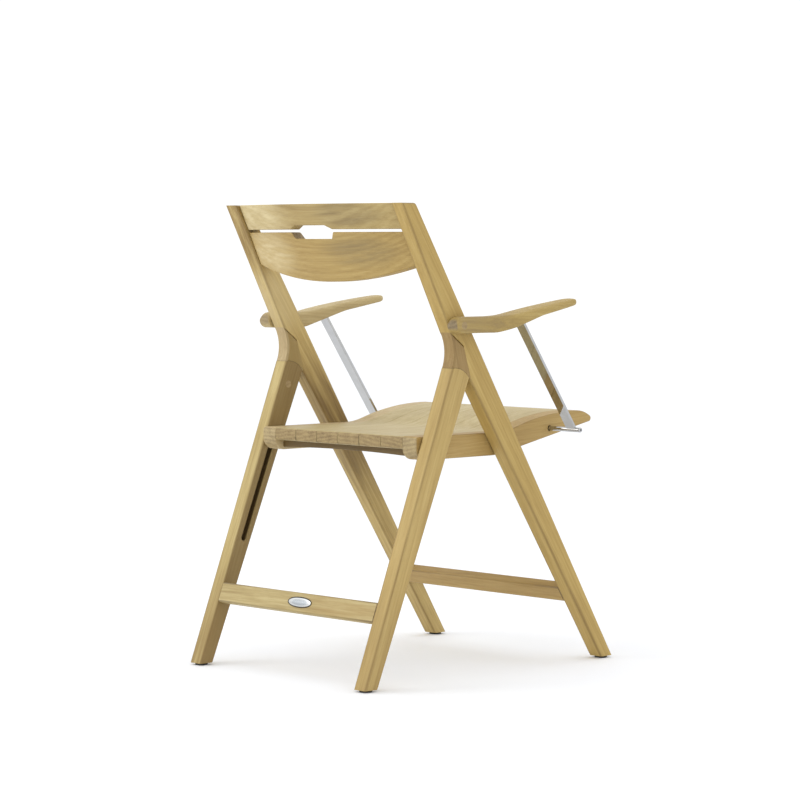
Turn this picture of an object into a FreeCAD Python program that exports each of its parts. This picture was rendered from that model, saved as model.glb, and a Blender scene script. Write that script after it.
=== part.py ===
import FreeCAD, Part
import math
import os
import Sketcher

# Folding teak armchair: two leaning stiles carry the back boards, two rear legs hinge behind them,
# the seat hangs between the stiles and slides in grooves of the rear legs, and each armrest is
# tied to the seat by a polished steel strut. Millimetres, +Z up, the sitter faces -Y, and the
# origin lies on the floor at the middle of the chair.

Vector = FreeCAD.Vector
doc = FreeCAD.newDocument("folding_armchair")

# Driving dimensions. Slopes are millimetres of run along Y for each millimetre of height.
DIMENSIONS = [
    ("frame_half", 228.7, "middle of a stile or leg, from the chair's middle"),
    ("timber", 31.0, "thickness of stiles and legs"),
    ("timber_round", 3.5, "rounding of the long edges of stiles and legs"),
    ("foot_lift", 4.0, "height of the timber feet above the floor"),
    ("tall", 870.0, "height of the stile tops"),
    ("stile_foot_y", -328.6, "front edge of the stile at floor height"),
    ("stile_slope", 0.6083, "lean of the stile's front edge"),
    ("stile_foot_wide", 31.5, "width of the stile at the floor, along Y"),
    ("stile_top_wide", 33.5, "width of the stile at its top, along Y"),
    ("leg_foot_y", 327.2, "rear edge of the rear leg at floor height"),
    ("leg_rear_slope", 0.3836, "lean of the rear leg's rear edge"),
    ("leg_front_slope", 0.4212, "lean of the rear leg's front edge"),
    ("leg_foot_wide", 31.2, "width of the rear leg at the floor, along Y"),
    ("hinge_y", 102.5, "axis of the rear legs"),
    ("hinge_z", 526.4, "axis of the rear legs"),
    ("shoulder", 45.2, "radius of the hollow shoulder that the leg head turns in"),
    ("shoulder_gap", 0.5, "clearance between leg head and shoulder"),
    ("head_rear", 83.1, "direction of the leg head's rear corner, in degrees"),
    ("head_front", 146.7, "direction of the leg head's front corner, in degrees"),
    ("block_top_z", 636.0, "upper seam of the hinge block"),
    ("block_top_y", 112.7, "upper seam of the hinge block, at the stile's rear edge"),
    ("block_seat_y", 80.5, "inner corner of the glue line"),
    ("block_seat_z", 612.0, "inner corner of the glue line"),
    ("block_toe_y", 62.2, "lower corner of the glue line"),
    ("block_toe_z", 554.0, "lower corner of the glue line"),
    ("block_hollow", 72.0, "radius of the block's hollow rear face"),
    ("tongue", 9.6, "thickness of the hinge tongue"),
    ("tongue_round", 14.0, "radius of the tongue's lower end"),
    ("tongue_turn", 111.0, "direction of the tongue, in degrees"),
    ("fork", 10.4, "width of the fork slot in the leg head"),
    ("fork_round", 14.6, "radius of the fork slot's end"),
    ("fold_turn", 52.0, "turn that the fork slot leaves to the leg, in degrees"),
    ("hinge_pin", 8.0, "diameter of the leg hinge pin"),
    ("plug", 14.0, "diameter of the teak plugs"),
    ("plug_deep", 4.0, "thickness of the teak plugs"),
    ("running", 0.16, "diameter clearance of a running fit"),
    ("groove_run", 0.4024, "run of the leg groove along Y for one millimetre of drop"),
    ("groove_wide", 12.6, "width of the leg groove"),
    ("groove_deep", 12.0, "depth of the leg groove"),
    ("groove_shift", 2.3, "groove's middle in front of the line through the hinge"),
    ("groove_start", 94.0, "centre of the groove's upper end, from the hinge"),
    ("groove_end", 312.0, "centre of the groove's lower end, from the hinge"),
    ("slide_pin", 7.0, "diameter of the seat's slide pins"),
    ("pivot_y", -42.0, "axis of the seat on the stiles"),
    ("pivot_z", 435.0, "axis of the seat on the stiles"),
    ("pivot_pin", 10.0, "diameter of the seat pivot pins"),
    ("rod_y", -183.0, "axis of the strut rods in the seat"),
    ("rod_z", 448.0, "axis of the strut rods in the seat"),
    ("strut_run", 149.0, "strut's reach along Y, from rod to armrest"),
    ("strut_rise", 214.0, "strut's reach along Z, from rod to armrest"),
    ("strut_x", 269.5, "middle of the strut's width"),
    ("strut_wide", 22.0, "width of the strut"),
    ("strut_thick", 5.0, "thickness of the strut"),
    ("rod", 9.0, "diameter of the strut rod"),
    ("rod_end", 289.0, "outer end of the strut rod"),
    ("rod_cap", 6.8, "diameter of the rod's cap"),
    ("rod_cap_long", 5.5, "length of the rod's cap"),
    ("eye", 10.0, "diameter of the strut's top eye"),
    ("eye_pin", 6.0, "diameter of the pin through the strut's top eye"),
    ("seat_half", 211.7, "half the seat's width"),
    ("rail_wide", 36.0, "width of a seat side rail"),
    ("seat_rear_y", 169.0, "rear end of the seat"),
    ("seat_rear_round", 6.0, "rounding of the seat's rear edge"),
    ("seat_z", 447.0, "height of the seat's level part"),
    ("dip_y", -44.0, "front end of the seat's level part"),
    ("dip_round", 150.0, "radius of the hollow where the seat starts to rise"),
    ("swell_round", 552.0, "radius of the seat's swell towards the nose"),
    ("ramp_turn", 17.3, "steepest rise of the seat, in degrees"),
    ("slat_thick", 20.0, "thickness of the seat slats"),
    ("slat_count", 6.0, "number of seat slats"),
    ("brow_round", 70.0, "radius of the seat's roll in front of its crest"),
    ("brow_turn", 33.0, "turn of that roll, in degrees"),
    ("nose_round", 6.0, "radius of the seat's nose"),
    ("under_ramp", 12.0, "rise of the side rails' underside towards the nose, in degrees"),
    ("rail_low_z", 404.0, "underside of the side rails"),
    ("arm_in", 245.2, "inner side of an armrest"),
    ("arm_rear_out", 273.5, "outer side of an armrest at its rear"),
    ("arm_out", 298.0, "outer side of an armrest at its widest"),
    ("arm_rear_y", 125.0, "rear end of an armrest"),
    ("arm_tip_y", -190.0, "front end of an armrest"),
    ("arm_top_z", 665.0, "armrest's top at its rear"),
    ("arm_low_z", 635.0, "armrest's underside at its rear"),
    ("arm_dip_y", 52.5, "where the armrest starts to rise and to widen"),
    ("arm_dip_run", 62.5, "length of the armrest's hollow and of its widening"),
    ("arm_swell_round", 2250.0, "radius of the armrest's long swell"),
    ("arm_ramp", 10.4, "steepest rise of the armrest's top, in degrees"),
    ("arm_taper", 5.5, "taper of the armrest's outer side, 100 mm in front of its widest place"),
    ("arm_low_lead", 43.0, "the underside's rise starts this far behind the armrest's widest place"),
    ("arm_low_ramp", 15.9, "steepest rise of the armrest's underside, in degrees"),
    ("arm_low_round", 42.0, "radius where the underside starts to rise"),
    ("arm_low_run", 91.0, "length of the underside's steepest stretch"),
    ("arm_nose_ramp", 9.6, "rise of the underside towards the tip, in degrees"),
    ("arm_nose_round", 170.0, "radius where the underside's rise eases"),
    ("tip_round", 19.0, "plan radius of the armrest's tip"),
    ("arm_edge", 5.5, "rounding of the armrest's upper edges"),
    ("arm_crown", 2.6, "height of the armrest's crown over its edges"),
    ("arm_bolt", 8.0, "diameter of the armrest bolts"),
    ("board_slope", 0.48, "lean of the back boards"),
    ("board_rear_y", 202.5, "rear face of the back boards at their ends, at gap height"),
    ("board_thick", 24.5, "thickness of the back boards, along Y"),
    ("board_bow", 34.0, "depth of the back boards' bow"),
    ("gap_z", 821.0, "middle of the gap between the back boards"),
    ("gap", 5.0, "height of the gap between the back boards"),
    ("board_end_z", 758.0, "lower edge of the lower board, at its ends"),
    ("board_low_z", 727.0, "lower edge of the lower board, at the middle"),
    ("grip_top_z", 831.0, "top of the hand hole"),
    ("grip_low_z", 806.0, "bottom of the hand hole"),
    ("grip_half", 57.0, "half width of the hand hole at the gap"),
    ("grip_top_half", 40.0, "half width of the hand hole at its top"),
    ("grip_low_half", 49.0, "half width of the hand hole at its bottom"),
    ("tenon_deep", 11.0, "depth of the tenons"),
    ("tenon_thick", 11.0, "thickness of the tenons"),
    ("front_bar_low_z", 114.0, "lower edge of the front stretcher's rear face"),
    ("front_bar_tall", 28.2, "height of the front stretcher"),
    ("rear_bar_low_z", 120.0, "lower edge of the rear stretcher's rear face"),
    ("rear_bar_tall", 35.0, "height of the rear stretcher"),
    ("bar_thick", 20.0, "thickness of the stretchers"),
    ("glide", 24.0, "diameter of the glides"),
    ("washer", 18.0, "diameter of the spacing washers"),
]

dims = doc.addObject("Spreadsheet::Sheet", "dims")
for row, (alias, number, note) in enumerate(DIMENSIONS, start=1):
    dims.set("A%d" % row, alias)
    dims.set("B%d" % row, str(number))
    dims.set("C%d" % row, note)
    dims.setAlias("B%d" % row, alias)
doc.recompute()

sub_parts = []


def value(expression):
    """Number that an expression on the sheet gives."""
    return float(dims.evalExpression(str(expression)))


def d(alias):
    return "dims." + alias


def bind(thing, prop, expression):
    thing.setExpression(prop, str(expression))


def cosine(angle):
    return "cos((%s)*1deg)" % angle


def sine(angle):
    return "sin((%s)*1deg)" % angle


def around(centre, radius, angle):
    """Point at a radius and a direction from a centre, as expressions."""
    return (
        "(%s)+(%s)*%s" % (centre[0], radius, cosine(angle)),
        "(%s)+(%s)*%s" % (centre[1], radius, sine(angle)),
    )


def step(point, across, up):
    return ("(%s)+(%s)" % (point[0], across), "(%s)+(%s)" % (point[1], up))


# Bodies, sketches and features

def new_body(name, x=0, y=0, z=0):
    body = doc.addObject("PartDesign::Body", name)
    body.Label = name
    for axis, place in zip("xyz", (x, y, z)):
        bind(body, "Placement.Base." + axis, place)
    sub_parts.append(body)
    return body


def new_sketch(body, role, offset=0):
    plane = [item for item in body.Origin.OriginFeatures if item.Role == role][0]
    sketch = body.newObject("Sketcher::SketchObject", body.Name + "_sketch")
    sketch.AttachmentSupport = (plane, "")
    sketch.MapMode = "FlatFace"
    bind(sketch, "AttachmentOffset.Base.z", offset)
    return sketch


def arc_between(start, end, radius):
    """Arc of less than half a turn; a positive radius keeps its centre on the left of the way."""
    chord = end - start
    half = chord.Length / 2
    size = max(abs(radius), half)
    rise = math.sqrt(size * size - half * half)
    left = Vector(-chord.y, chord.x, 0).normalize()
    side = 1 if radius > 0 else -1
    centre = (start + end) / 2 + left * rise * side
    middle = (start + end) / 2 - centre
    if middle.Length < 1e-6:
        middle = left * -side
    middle = centre + middle.normalize() * size
    return Part.Arc(start, middle, end)


def outline(sketch, path):
    """Closed outline. Each entry is (across, up) or (across, up, radius of the arc that leads on)."""
    corners = [Vector(value(p[0]), value(p[1]), 0) for p in path]
    starts = []
    ends = []
    for index, entry in enumerate(path):
        start = corners[index]
        end = corners[(index + 1) % len(path)]
        radius = value(entry[2]) if len(entry) > 2 else 0
        if radius:
            geometry = sketch.addGeometry(arc_between(start, end, radius))
            forward = radius > 0
            starts.append((geometry, 1 if forward else 2))
            ends.append((geometry, 2 if forward else 1))
        else:
            geometry = sketch.addGeometry(Part.LineSegment(start, end))
            starts.append((geometry, 1))
            ends.append((geometry, 2))
    for index, entry in enumerate(path):
        geometry, corner = starts[index]
        sketch.addConstraint(Sketcher.Constraint("Coincident", *ends[index - 1], geometry, corner))
        for kind, number, expression in (
            ("DistanceX", corners[index].x, entry[0]),
            ("DistanceY", corners[index].y, entry[1]),
        ):
            rule = sketch.addConstraint(Sketcher.Constraint(kind, -1, 1, geometry, corner, number))
            bind(sketch, "Constraints[%d]" % rule, expression)
        if len(entry) > 2 and value(entry[2]):
            size = abs(value(entry[2]))
            rule = sketch.addConstraint(Sketcher.Constraint("Radius", geometry, size))
            bind(sketch, "Constraints[%d]" % rule, "abs(%s)" % entry[2])


def circle(sketch, across, up, diameter):
    """Full circle, placed and sized by expressions."""
    centre = Vector(value(across), value(up), 0)
    geometry = sketch.addGeometry(Part.Circle(centre, Vector(0, 0, 1), value(diameter) / 2))
    for kind, number, expression in (("DistanceX", centre.x, across), ("DistanceY", centre.y, up)):
        rule = sketch.addConstraint(Sketcher.Constraint(kind, -1, 1, geometry, 3, number))
        bind(sketch, "Constraints[%d]" % rule, expression)
    rule = sketch.addConstraint(Sketcher.Constraint("Diameter", geometry, value(diameter)))
    bind(sketch, "Constraints[%d]" % rule, diameter)


def settle(feature):
    """Recompute, and stop where the new feature fails."""
    doc.recompute()
    if "Invalid" in feature.State or "Error" in feature.State:
        raise RuntimeError("%s failed: %s" % (feature.Name, feature.State))
    return feature


def pad(body, sketch, length, symmetric=False, backward=False):
    feature = body.newObject("PartDesign::Pad", body.Name + "_pad")
    feature.Profile = sketch
    if symmetric:
        feature.SideType = "Symmetric"
    feature.Reversed = backward
    bind(feature, "Length", length)
    return settle(feature)


def pocket(body, sketch, depth=None, symmetric=False, backward=False):
    """Cut, through everything where no depth is given; the volume has to shrink."""
    before = body.Shape.Volume
    feature = body.newObject("PartDesign::Pocket", body.Name + "_pocket")
    feature.Profile = sketch
    if symmetric:
        feature.SideType = "Symmetric"
    feature.Reversed = backward
    if depth is None:
        feature.Type = "ThroughAll"
    else:
        bind(feature, "Length", depth)
    settle(feature)
    if body.Shape.Volume > before - 0.5:
        raise RuntimeError("%s cuts nothing from %s" % (feature.Name, body.Label))
    return feature


def soften(body, radius, chosen):
    """Round the edges that the test picks."""
    base = body.Tip
    names = ["Edge%d" % n for n, edge in enumerate(base.Shape.Edges, start=1) if chosen(edge)]
    if not names:
        raise RuntimeError("no edge to round on " + body.Label)
    feature = body.newObject("PartDesign::Fillet", body.Name + "_fillet")
    feature.Base = (base, names)
    bind(feature, "Radius", radius)
    return settle(feature)


def bevel(body, size, chosen):
    """Chamfer the edges that the test picks."""
    base = body.Tip
    names = ["Edge%d" % n for n, edge in enumerate(base.Shape.Edges, start=1) if chosen(edge)]
    if not names:
        raise RuntimeError("no edge to chamfer on " + body.Label)
    feature = body.newObject("PartDesign::Chamfer", body.Name + "_chamfer")
    feature.Base = (base, names)
    feature.Size = size
    return settle(feature)


def ends_of(edge):
    return [vertex.Point for vertex in edge.Vertexes]


def on_face(edge, axis, place, margin=0.05):
    """True where the whole edge lies on the plane across an axis."""
    box = edge.BoundBox
    low = getattr(box, axis + "Min")
    high = getattr(box, axis + "Max")
    return abs(low - place) < margin and abs(high - place) < margin


def rod_along_x(name, x_from, x_to, y, z, diameter):
    """Plain cylinder along X."""
    solid = doc.addObject("Part::Cylinder", name)
    bind(solid, "Radius", "(%s)/2" % diameter)
    bind(solid, "Height", "abs((%s)-(%s))" % (x_to, x_from))
    solid.Placement = FreeCAD.Placement(Vector(0, 0, 0), FreeCAD.Rotation(Vector(0, 1, 0), 90))
    bind(solid, "Placement.Base.x", "min(%s;%s)" % (x_from, x_to))
    bind(solid, "Placement.Base.y", y)
    bind(solid, "Placement.Base.z", z)
    return solid


def pin(name, x_from, x_to, y, z, diameter):
    """Plain pin along X, as a sub-part of its own."""
    solid = rod_along_x(name, x_from, x_to, y, z, diameter)
    solid.Label = name
    sub_parts.append(solid)
    return solid


def ring_along_x(name, x_from, x_to, y, z, diameter, hole):
    """Washer along X: a disc with a bore."""
    ring = doc.addObject("Part::Cut", name)
    ring.Base = rod_along_x(name + "_disc", x_from, x_to, y, z, diameter)
    ring.Tool = rod_along_x(name + "_bore", x_from, x_to, y, z, hole)
    return ring


def on_both_sides(name, piece):
    """One sub-part that holds the left piece and its mirror image on the right."""
    other = doc.addObject("Part::Mirroring", name + "_right")
    other.Source = piece
    other.Normal = Vector(1, 0, 0)
    pair = doc.addObject("Part::MultiFuse", name)
    pair.Label = name
    pair.Shapes = [piece, other]
    sub_parts.append(pair)
    return pair


# Places that several pieces share

SIDES = (("left", 1), ("right", -1))

hinge = (d("hinge_y"), d("hinge_z"))
pivot = (d("pivot_y"), d("pivot_z"))
rod_axis = (d("rod_y"), d("rod_z"))
eye_axis = step(rod_axis, d("strut_run"), d("strut_rise"))
arm_axis = step(pivot, d("strut_run"), d("strut_rise"))
inner_face = "dims.frame_half-dims.timber/2"
outer_face = "dims.frame_half+dims.timber/2"


def stile_front(z):
    return "(dims.stile_foot_y+dims.stile_slope*(%s))" % z


def leg_rear(z):
    return "(dims.leg_foot_y-dims.leg_rear_slope*(%s))" % z


def leg_front(z):
    return "(dims.leg_foot_y-dims.leg_foot_wide-dims.leg_front_slope*(%s))" % z


shoulder_front = around(hinge, d("shoulder"), d("head_front"))
shoulder_rear = around(hinge, d("shoulder"), d("head_rear"))
block_top = (d("block_top_y"), d("block_top_z"))
block_seat = (d("block_seat_y"), d("block_seat_z"))
block_toe = (d("block_toe_y"), d("block_toe_z"))
foot_z = d("foot_lift")
stile_rear_foot = (stile_front(foot_z) + "+dims.stile_foot_wide", foot_z)

# Rear faces and pitch of the two stretchers

stile_rear_slope = "((%s-(%s))/(%s-%s))" % (
    shoulder_front[0], stile_rear_foot[0], "(" + shoulder_front[1] + ")", foot_z)


def stile_rear(z):
    return "((%s)+%s*((%s)-%s))" % (stile_rear_foot[0], stile_rear_slope, z, foot_z)


def bar_section(bar, inset=0):
    """Outline of a stretcher whose rear face follows its stile or leg; the inset gives its tenon."""
    rear_edge, slope, bottom, tall = bar
    low_z = "(%s+(%s))" % (bottom, inset)
    high_z = "(%s+%s-(%s))" % (bottom, tall, inset)
    unit = "sqrt(1+(%s)^2)" % slope
    in_y = "-1/%s" % unit
    in_z = "(%s)/%s" % (slope, unit)
    near = "((%s)*0.85)" % inset
    far = "(dims.bar_thick-(%s)*0.85)" % inset
    corners = []
    for z, depth in ((low_z, near), (high_z, near), (high_z, far), (low_z, far)):
        corners.append(step((rear_edge(z), z), "(%s)*(%s)" % (in_y, depth), "(%s)*(%s)" % (in_z, depth)))
    return corners


TENON_INSET = 5.0
front_bar = (stile_rear, stile_rear_slope, d("front_bar_low_z"), d("front_bar_tall"))
rear_bar = (leg_rear, "-dims.leg_rear_slope", d("rear_bar_low_z"), d("rear_bar_tall"))

# Board tenon, as an outline in the plane across X

def board_tenon(low_z, high_z, inset=6.0):
    """Outline of a back board's tenon between two heights."""
    def rear(z):
        inset_y = "(dims.board_thick-dims.tenon_thick)/2"
        return "(dims.board_rear_y+dims.board_slope*((%s)-dims.gap_z)-%s)" % (z, inset_y)
    low = "(%s)+%s" % (low_z, inset)
    high = "(%s)-%s" % (high_z, inset)
    return [
        (rear(low), low),
        (rear(high), high),
        (rear(high) + "-dims.tenon_thick", high),
        (rear(low) + "-dims.tenon_thick", low),
    ]


upper_low_z = "dims.gap_z+dims.gap/2"
lower_top_z = "dims.gap_z-dims.gap/2"


# Stiles

def make_stile(name, side):
    """Leaning stile with the housing for its hinge block, mortises and pin holes."""
    body = new_body(name, "%d*dims.frame_half" % side)
    sketch = new_sketch(body, "YZ_Plane")
    outline(sketch, [
        (stile_front(foot_z), foot_z),
        stile_rear_foot,
        shoulder_front,
        block_toe,
        block_seat,
        block_top,
        (stile_front(d("tall")) + "+dims.stile_top_wide", d("tall")),
        (stile_front(d("tall")) + "+4.5", d("tall"), "8"),
        (stile_front("(dims.tall-3.84)"), "dims.tall-3.84"),
    ])
    pad(body, sketch, d("timber"), symmetric=True)
    half = value("dims.timber/2")

    def long_edge(edge):
        if not (on_face(edge, "X", half) or on_face(edge, "X", -half)):
            return False
        a, b = ends_of(edge)
        return abs(a.z - b.z) > 100
    soften(body, d("timber_round"), long_edge)

    inward = side > 0
    face = "%d*(dims.timber/2)" % -side
    for section in (
        bar_section(front_bar, TENON_INSET),
        board_tenon(d("board_end_z"), lower_top_z),
        board_tenon(upper_low_z, d("tall")),
    ):
        sketch = new_sketch(body, "YZ_Plane", face)
        outline(sketch, section)
        pocket(body, sketch, d("tenon_deep"), backward=inward)
    sketch = new_sketch(body, "YZ_Plane", face)
    circle(sketch, *pivot, d("pivot_pin"))
    pocket(body, sketch, "dims.timber/2+5", backward=inward)
    sketch = new_sketch(body, "YZ_Plane", "%d*(dims.timber/2)" % side)
    circle(sketch, *arm_axis, d("arm_bolt"))
    pocket(body, sketch, "dims.timber/2+5", backward=not inward)
    return body


# Hinge blocks with their tongues

def make_hinge_block(name, side):
    """Block glued behind the stile: hollow shoulder, hollow rear face, and a tongue below."""
    body = new_body(name, "%d*dims.frame_half" % side)
    sketch = new_sketch(body, "YZ_Plane")
    outline(sketch, [
        shoulder_rear + ("-dims.block_hollow",),
        block_top,
        block_seat,
        block_toe,
        shoulder_front + ("-dims.shoulder",),
    ])
    pad(body, sketch, d("timber"), symmetric=True)
    half = value("dims.timber/2")

    def rear_edge(edge):
        on_side = on_face(edge, "X", half) or on_face(edge, "X", -half)
        middle = edge.valueAt((edge.FirstParameter + edge.LastParameter) / 2)
        return on_side and middle.y > value("dims.block_seat_y") and middle.z > value(shoulder_rear[1])
    bevel(body, 3.0, rear_edge)
    turn = d("tongue_turn")
    low_left = around(hinge, d("tongue_round"), turn + "+90")
    low_right = around(hinge, d("tongue_round"), turn + "-90")
    reach = "(dims.shoulder+8)"
    rise = ("%s*%s" % (reach, cosine(turn)), "%s*%s" % (reach, sine(turn)))
    bottom = around(hinge, d("tongue_round"), turn + "+180")
    sketch = new_sketch(body, "YZ_Plane")
    outline(sketch, [
        low_left + (d("tongue_round"),),
        bottom + (d("tongue_round"),),
        low_right,
        step(low_right, *rise),
        step(low_left, *rise),
    ])
    pad(body, sketch, d("tongue"), symmetric=True)
    sketch = new_sketch(body, "YZ_Plane")
    circle(sketch, *hinge, "dims.hinge_pin+dims.running")
    pocket(body, sketch, "dims.timber", symmetric=True)
    return body


# Rear legs

groove_unit = "sqrt(1+dims.groove_run^2)"


def groove_point(reach, shift):
    """Point along the leg groove, measured from the hinge, and shifted towards the front."""
    along_y = "dims.groove_run/%s" % groove_unit
    along_z = "1/%s" % groove_unit
    return (
        "dims.hinge_y+(%s)*%s-(%s)*%s" % (reach, along_y, shift, along_z),
        "dims.hinge_z-(%s)*%s-(%s)*%s" % (reach, along_z, shift, along_y),
    )


slide_axis = groove_point(d("groove_start"), 0)


def make_rear_leg(name, side):
    """Rear leg with a forked round head, a blind groove for the seat's pin, and a foot."""
    body = new_body(name, "%d*dims.frame_half" % side)
    head = "(dims.shoulder-dims.shoulder_gap)"
    sketch = new_sketch(body, "YZ_Plane")
    outline(sketch, [
        (leg_front(foot_z), foot_z),
        (leg_rear(foot_z), foot_z),
        around(hinge, head, d("head_rear")) + (head,),
        around(hinge, head, d("head_front")),
    ])
    pad(body, sketch, d("timber"), symmetric=True)
    half = value("dims.timber/2")

    def long_edge(edge):
        if not (on_face(edge, "X", half) or on_face(edge, "X", -half)):
            return False
        a, b = ends_of(edge)
        return abs(a.z - b.z) > 100
    soften(body, d("timber_round"), long_edge)

    inward = side > 0
    face = "%d*(dims.timber/2)" % -side
    turn = d("tongue_turn")
    folded = "%s+dims.fold_turn" % turn
    rear_low = around(hinge, d("fork_round"), turn + "-90")
    bottom = around(hinge, d("fork_round"), turn + "+196")
    front_low = around(hinge, d("fork_round"), folded + "+90")
    sketch = new_sketch(body, "YZ_Plane")
    outline(sketch, [
        front_low + (d("fork_round"),),
        bottom + (d("fork_round"),),
        rear_low,
        step(rear_low, "60*" + cosine(turn), "60*" + sine(turn)),
        step(hinge, -90, 70),
        step(front_low, "70*" + cosine(folded), "70*" + sine(folded)),
    ])
    pocket(body, sketch, d("fork"), symmetric=True)

    sketch = new_sketch(body, "YZ_Plane", face)
    shift = d("groove_shift")
    half_wide = "dims.groove_wide/2"
    outline(sketch, [
        groove_point(d("groove_start"), "%s-%s" % (shift, half_wide)) + (half_wide,),
        groove_point(d("groove_start") + "-" + half_wide, shift) + (half_wide,),
        groove_point(d("groove_start"), "%s+%s" % (shift, half_wide)),
        groove_point(d("groove_end"), "%s+%s" % (shift, half_wide)) + (half_wide,),
        groove_point(d("groove_end") + "+" + half_wide, shift) + (half_wide,),
        groove_point(d("groove_end"), "%s-%s" % (shift, half_wide)),
    ])
    pocket(body, sketch, d("groove_deep"), backward=inward)

    sketch = new_sketch(body, "YZ_Plane", face)
    outline(sketch, bar_section(rear_bar, TENON_INSET))
    pocket(body, sketch, d("tenon_deep"), backward=inward)
    sketch = new_sketch(body, "YZ_Plane", face)
    circle(sketch, *hinge, d("hinge_pin"))
    pocket(body, sketch, "dims.timber-3", backward=inward)
    sketch = new_sketch(body, "YZ_Plane", face)
    circle(sketch, *hinge, d("plug"))
    pocket(body, sketch, d("plug_deep"), backward=inward)
    return body


# Stretchers and back boards

def make_stretcher(name, bar):
    """Bar across the chair, with a tenon at each end."""
    body = new_body(name)
    sketch = new_sketch(body, "YZ_Plane")
    outline(sketch, bar_section(bar))
    length = "2*(%s)" % inner_face
    pad(body, sketch, length, symmetric=True)
    half = value(inner_face)

    def long_edge(edge):
        return edge.BoundBox.XLength > half
    soften(body, 3, long_edge)
    sketch = new_sketch(body, "YZ_Plane")
    outline(sketch, bar_section(bar, TENON_INSET))
    pad(body, sketch, "2*(%s+dims.tenon_deep)" % inner_face, symmetric=True)
    return body


def make_board(name, upper):
    """Bowed back board, leaning with the stiles, with tenons and half of the hand hole."""
    body = new_body(name)
    half = "(%s)" % inner_face
    edge = "(%s+1)" % half
    if upper:
        low, high = upper_low_z, d("tall")
        inner_z, grip_z, grip_half, beyond = low, d("grip_top_z"), d("grip_top_half"), "-60"
        outer_cut = [(edge, high), (edge, high + "+60"), ("-" + edge, high + "+60"), ("-" + edge, high)]
    else:
        low, high = d("board_end_z"), lower_top_z
        inner_z, grip_z, grip_half, beyond = high, d("grip_low_z"), d("grip_low_half"), "+60"
        rise = "(dims.board_end_z-dims.board_low_z)"
        edge_round = "(%s^2+%s^2)/(2*%s)" % (half, rise, rise)
        under = "dims.board_low_z-70"
        outer_cut = [("-" + edge, low), ("-" + edge, under), (edge, under), (edge, low, "-(%s)" % edge_round)]

    square = "cos(atan(dims.board_slope))"
    bow = "(dims.board_bow*%s)" % square
    bow_round = "(%s^2+%s^2)/(2*%s)" % (half, bow, bow)
    front = "-dims.board_thick*" + square
    base_z = "(%s-45)" % low
    sketch = new_sketch(body, "XY_Plane", base_z)
    lean = math.degrees(math.atan(value("dims.board_slope")))
    sketch.AttachmentOffset.Rotation = FreeCAD.Rotation(Vector(1, 0, 0), -lean)
    bind(sketch, "AttachmentOffset.Base.y", "dims.board_rear_y+dims.board_slope*(%s-dims.gap_z)" % base_z)
    outline(sketch, [
        (half, front),
        (half, "0", bow_round),
        ("-" + half, "0"),
        ("-" + half, front, "-" + bow_round),
    ])
    pad(body, sketch, "(%s-%s+80)/%s" % (high, low, square))

    inner_cut = [
        ("-" + edge, inner_z),
        ("-dims.grip_half", inner_z),
        ("-" + grip_half, grip_z),
        (grip_half, grip_z),
        ("dims.grip_half", inner_z),
        (edge, inner_z),
        (edge, inner_z + beyond),
        ("-" + edge, inner_z + beyond),
    ]
    for path in (outer_cut, inner_cut):
        sketch = new_sketch(body, "XZ_Plane")
        outline(sketch, path)
        pocket(body, sketch, 800, symmetric=True)
    for start, backward in ((half + "-3", False), ("-%s+3" % half, True)):
        sketch = new_sketch(body, "YZ_Plane", start)
        outline(sketch, board_tenon(low, high))
        pad(body, sketch, "3+dims.tenon_deep", backward=backward)
    return body


# Seat

ramp = d("ramp_turn")
dip = (d("dip_y"), d("seat_z"))
swell_start = step(
    dip, "-dims.dip_round*" + sine(ramp), "dims.dip_round*(1-%s)" % cosine(ramp))
crest = step(
    swell_start, "-dims.swell_round*" + sine(ramp), "dims.swell_round*(1-%s)" % cosine(ramp))
brow = d("brow_turn")
brow_end = step(
    crest, "-dims.brow_round*" + sine(brow), "-dims.brow_round*(1-%s)" % cosine(brow))
nose_centre = step(
    brow_end, "dims.nose_round*" + sine(brow), "-dims.nose_round*" + cosine(brow))
nose_low = around(nose_centre, d("nose_round"), "270-" + d("under_ramp"))
nose_path = [crest + (d("brow_round"),), brow_end + (d("nose_round"),), nose_low]
rear_corner = (d("seat_rear_y"), "dims.seat_z-dims.seat_rear_round", d("seat_rear_round"))


def seat_top(drop=0):
    """Seat's surface from its rear to its swell, lowered by a drop measured across the surface."""
    return [
        ("dims.seat_rear_y-dims.seat_rear_round", "dims.seat_z-(%s)" % drop),
        (dip[0], "dims.seat_z-(%s)" % drop, "-(dims.dip_round+(%s))" % drop),
        step(swell_start, "(%s)*%s*-1" % (drop, sine(ramp)), "-(%s)*%s" % (drop, cosine(ramp)))
        + ("dims.swell_round-(%s)" % drop,),
    ]


def slat_under(y):
    """Height of the slats' underside below the swell."""
    inner = "(dims.swell_round-dims.slat_thick)"
    return "(%s)-dims.swell_round+sqrt(%s^2-((%s)-(%s))^2)" % (crest[1], inner, y, crest[0])


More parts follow.
